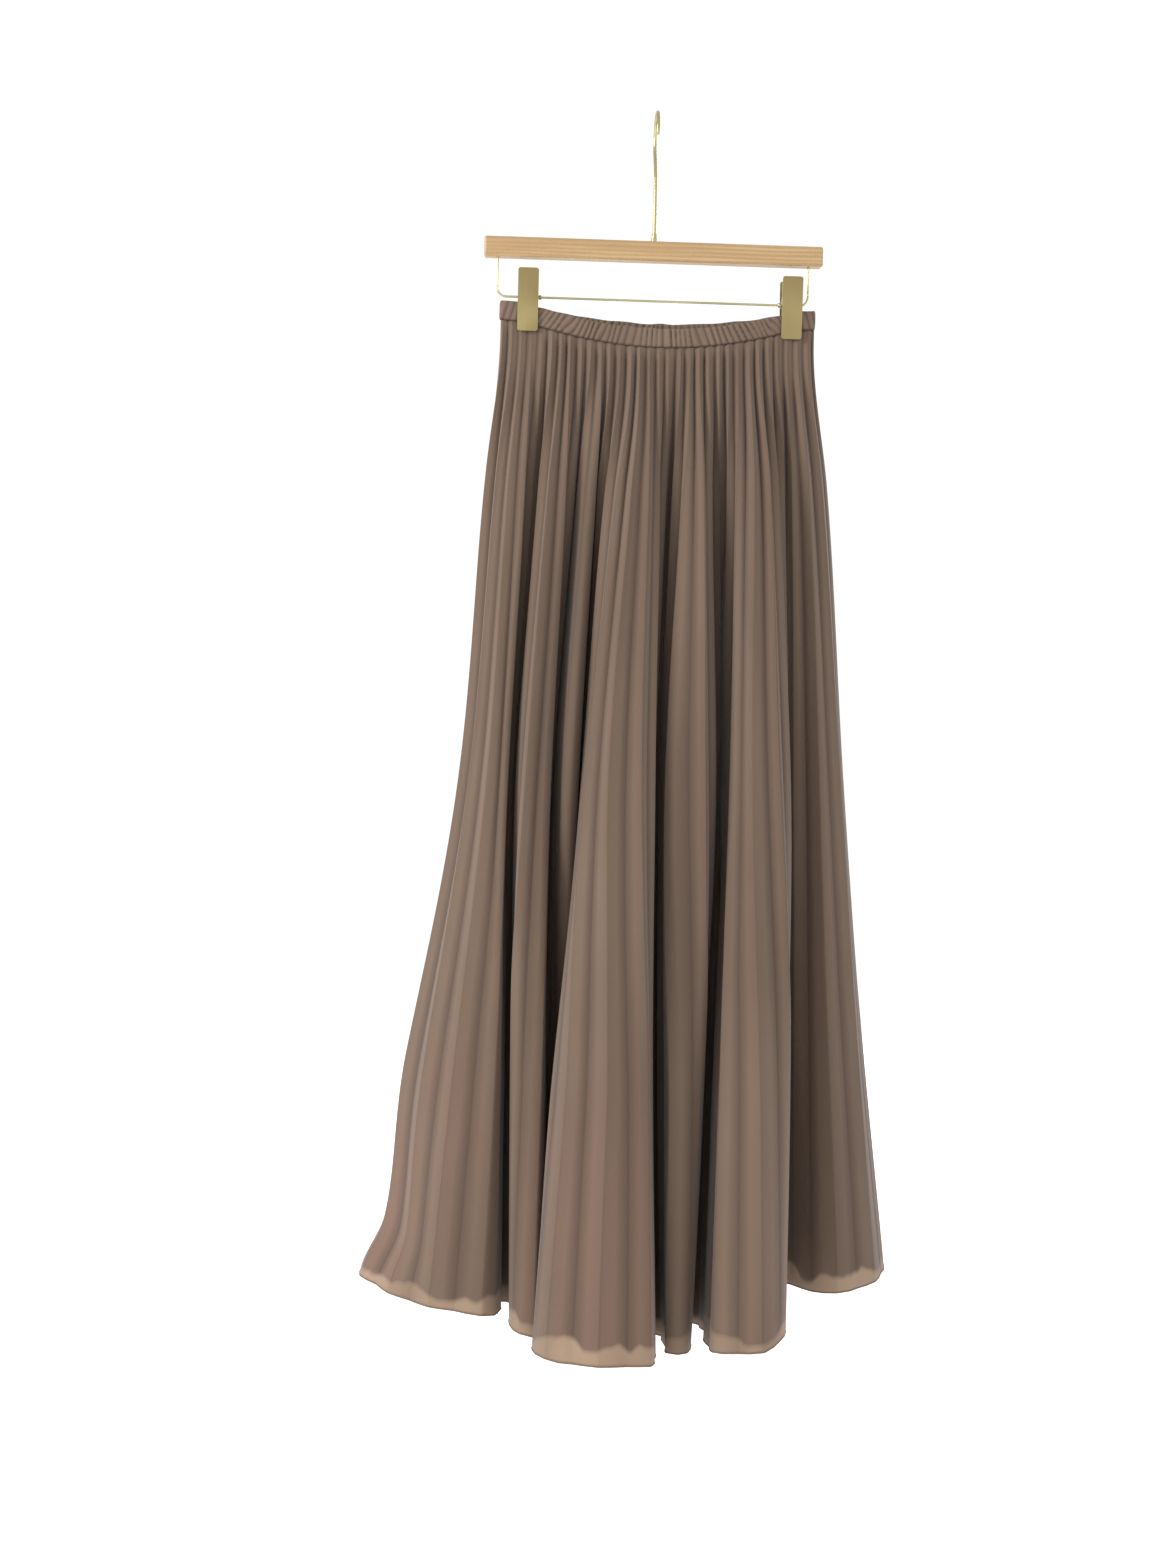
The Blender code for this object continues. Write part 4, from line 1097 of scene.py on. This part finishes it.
def jaw(name, clip_x, front, lug_x):
    """Flat pressed plate with rounded corners, a turned-back rim and two ears that the wire goes through.

    front is -1 for the front jaw and 1 for the back one.
    """
    lean = math.atan2(JAW_TOP_Y - JAW_GRIP_Y, CLIP_HEIGHT)
    mesh = bmesh.new()
    bmesh.ops.create_grid(mesh, x_segments=1, y_segments=1, size=0.5)
    bmesh.ops.scale(mesh, vec=(CLIP_WIDTH, CLIP_HEIGHT, 1), verts=mesh.verts)
    bmesh.ops.bevel(
        mesh, geom=mesh.verts[:], offset=PLATE_CORNER_RADIUS,
        affect="VERTICES", segments=6, profile=0.5, material=-1,
    )
    bmesh.ops.inset_region(
        mesh, faces=mesh.faces[:], thickness=HIGHLIGHT_RIM_WIDTH, depth=PRESSED_DEPTH,
        use_even_offset=True,
    )
    rim = [edge for edge in mesh.edges if edge.is_boundary]
    drawn = bmesh.ops.extrude_edge_only(mesh, edges=rim)["geom"]
    drawn = [part for part in drawn if isinstance(part, bmesh.types.BMVert)]
    bmesh.ops.translate(mesh, vec=(0, 0, PRESSED_DEPTH - JAW_THICKNESS), verts=drawn)
    bmesh.ops.contextual_create(mesh, geom=[edge for edge in mesh.edges if edge.is_boundary])
    for face in mesh.faces:
        # Small faces, the rim and turned-back sides, take the paler brass: painted highlight along the
        # edges
        face.material_index = int(face.calc_area() < CLIP_WIDTH * CLIP_HEIGHT / 2)
    upright = Matrix.Rotation(math.pi / 2, 4, "X")
    bmesh.ops.transform(mesh, matrix=upright, verts=mesh.verts)
    bmesh.ops.translate(mesh, vec=(0, -PRESSED_DEPTH, CLIP_HEIGHT / 2), verts=mesh.verts)
    bmesh.ops.transform(mesh, matrix=Matrix.Rotation(lean, 4, "X"), verts=mesh.verts)
    if front > 0:
        bmesh.ops.scale(mesh, vec=(1, -1, 1), verts=mesh.verts)
    foot = Vector((clip_x, front * (JAW_GRIP_Y + JAW_THICKNESS - PLATE_SET_IN), CLIP_TOP_Z - CLIP_HEIGHT))
    bmesh.ops.translate(mesh, vec=foot, verts=mesh.verts)
    reach = JAW_GRIP_Y + (RAIL_WIRE_Z - CLIP_TOP_Z + CLIP_HEIGHT) * math.tan(lean) + JAW_THICKNESS / 2
    for place in (-lug_x, lug_x):
        lug(mesh, clip_x + place, front, reach)
    bmesh.ops.recalc_face_normals(mesh, faces=mesh.faces)
    plate = finished(f"{name}_plate", mesh, hardware_group, SATIN_BRASS, (name,), smooth=False)
    plate.data.materials.append(RIM_HIGHLIGHT_BRASS)
    return plate


def clip(side):
    clip_x = CLIP_X[side]
    jaws = [
        jaw(f"clip_{side}_front_jaw", clip_x, -1, FRONT_LUG_X),
        jaw(f"clip_{side}_back_jaw", clip_x, 1, BACK_LUG_X),
    ]
    inward = 1 if clip_x < 0 else -1
    collar_x = clip_x + inward * (FRONT_LUG_X + LUG_THICKNESS / 2 + SEAM_GAP + COLLAR_LENGTH / 2)
    name = f"clip_{side}_spring"
    coil(f"{name}_coil", clip_x, SPRING_RADIUS, 2 * SPRING_HALF_LENGTH, SPRING_TURNS, (name,))
    name = f"clip_{side}_collar"
    coil(f"{name}_coil", collar_x, COLLAR_RADIUS, COLLAR_LENGTH, COLLAR_TURNS, (name,))
    return jaws


bar()
hook()
ferrule()
rail()
jaws = clip("left") + clip("right")
band = waistband()
front_cloth, front_roll = skirt_panel("front", 5)
back_cloth, back_roll = skirt_panel("back", 8)
inner_cloth = lining()


# Studio

FLOOR_HALF_WIDTH = 9.0
FLOOR_Y = 1.0
FLOOR_Z = -1.46
WORLD_STRENGTH = 1.04
CAMERA_PLACE = (-0.12898, -1.9988, -0.69061)
CAMERA_LENS = 44.47
CAMERA_AZIMUTH = -2.0
CAMERA_ROLL = 1.4


def add_floor():
    mesh = bmesh.new()
    bmesh.ops.create_grid(mesh, x_segments=40, y_segments=40, size=FLOOR_HALF_WIDTH)
    bmesh.ops.translate(mesh, vec=(0, FLOOR_Y, FLOOR_Z), verts=mesh.verts)
    data = bpy.data.meshes.new("studio_floor")
    mesh.to_mesh(data)
    mesh.free()
    data.materials.append(PAPER)
    floor = bpy.data.objects.new("studio_floor", data)
    studio_group.objects.link(floor)


def add_softbox(name, place, target, size, power):
    light = bpy.data.lights.new(name, "AREA")
    light.shape = "RECTANGLE"
    light.size, light.size_y = size
    light.energy = power
    lamp = bpy.data.objects.new(name, light)
    lamp.location = place
    lamp.rotation_euler = (Vector(target) - Vector(place)).to_track_quat("-Z", "Y").to_euler()
    studio_group.objects.link(lamp)


def add_world():
    world = bpy.data.worlds.new("white studio")
    world.use_nodes = True
    background = world.node_tree.nodes["Background"].inputs
    background["Color"].default_value = (1.0, 1.0, 1.0, 1.0)
    background["Strength"].default_value = WORLD_STRENGTH
    bpy.context.scene.world = world
    bpy.context.scene.view_settings.view_transform = "Standard"


def add_camera():
    """The photograph's view: 2 degrees to the left of square, level, turned 1.4 degrees on its axis."""
    azimuth = math.radians(CAMERA_AZIMUTH)
    roll = math.radians(CAMERA_ROLL)
    look = Vector((-math.sin(azimuth), math.cos(azimuth), 0.0))
    level = Vector((math.cos(azimuth), math.sin(azimuth), 0.0))
    right = math.cos(roll) * level + math.sin(roll) * Vector((0, 0, 1))
    upward = -math.sin(roll) * level + math.cos(roll) * Vector((0, 0, 1))
    data = bpy.data.cameras.new("photo camera")
    data.sensor_width = 36.0
    data.lens = CAMERA_LENS
    camera = bpy.data.objects.new("photo camera", data)
    turn = Matrix((right, upward, -look)).transposed().to_4x4()
    camera.matrix_world = Matrix.Translation(CAMERA_PLACE) @ turn
    studio_group.objects.link(camera)
    bpy.context.scene.camera = camera


add_floor()
add_softbox("key", (-2.9, -1.55, 0.6), (0, 0, -0.7), (1.2, 1.4), 110)
add_softbox("fill", (2.6, -1.8, -0.2), (0, 0, -0.8), (2.0, 2.0), 16)
add_softbox("rear", (1.6, 2.8, 0.4), (0, 0, -0.8), (2.0, 2.0), 45)
add_world()
add_camera()
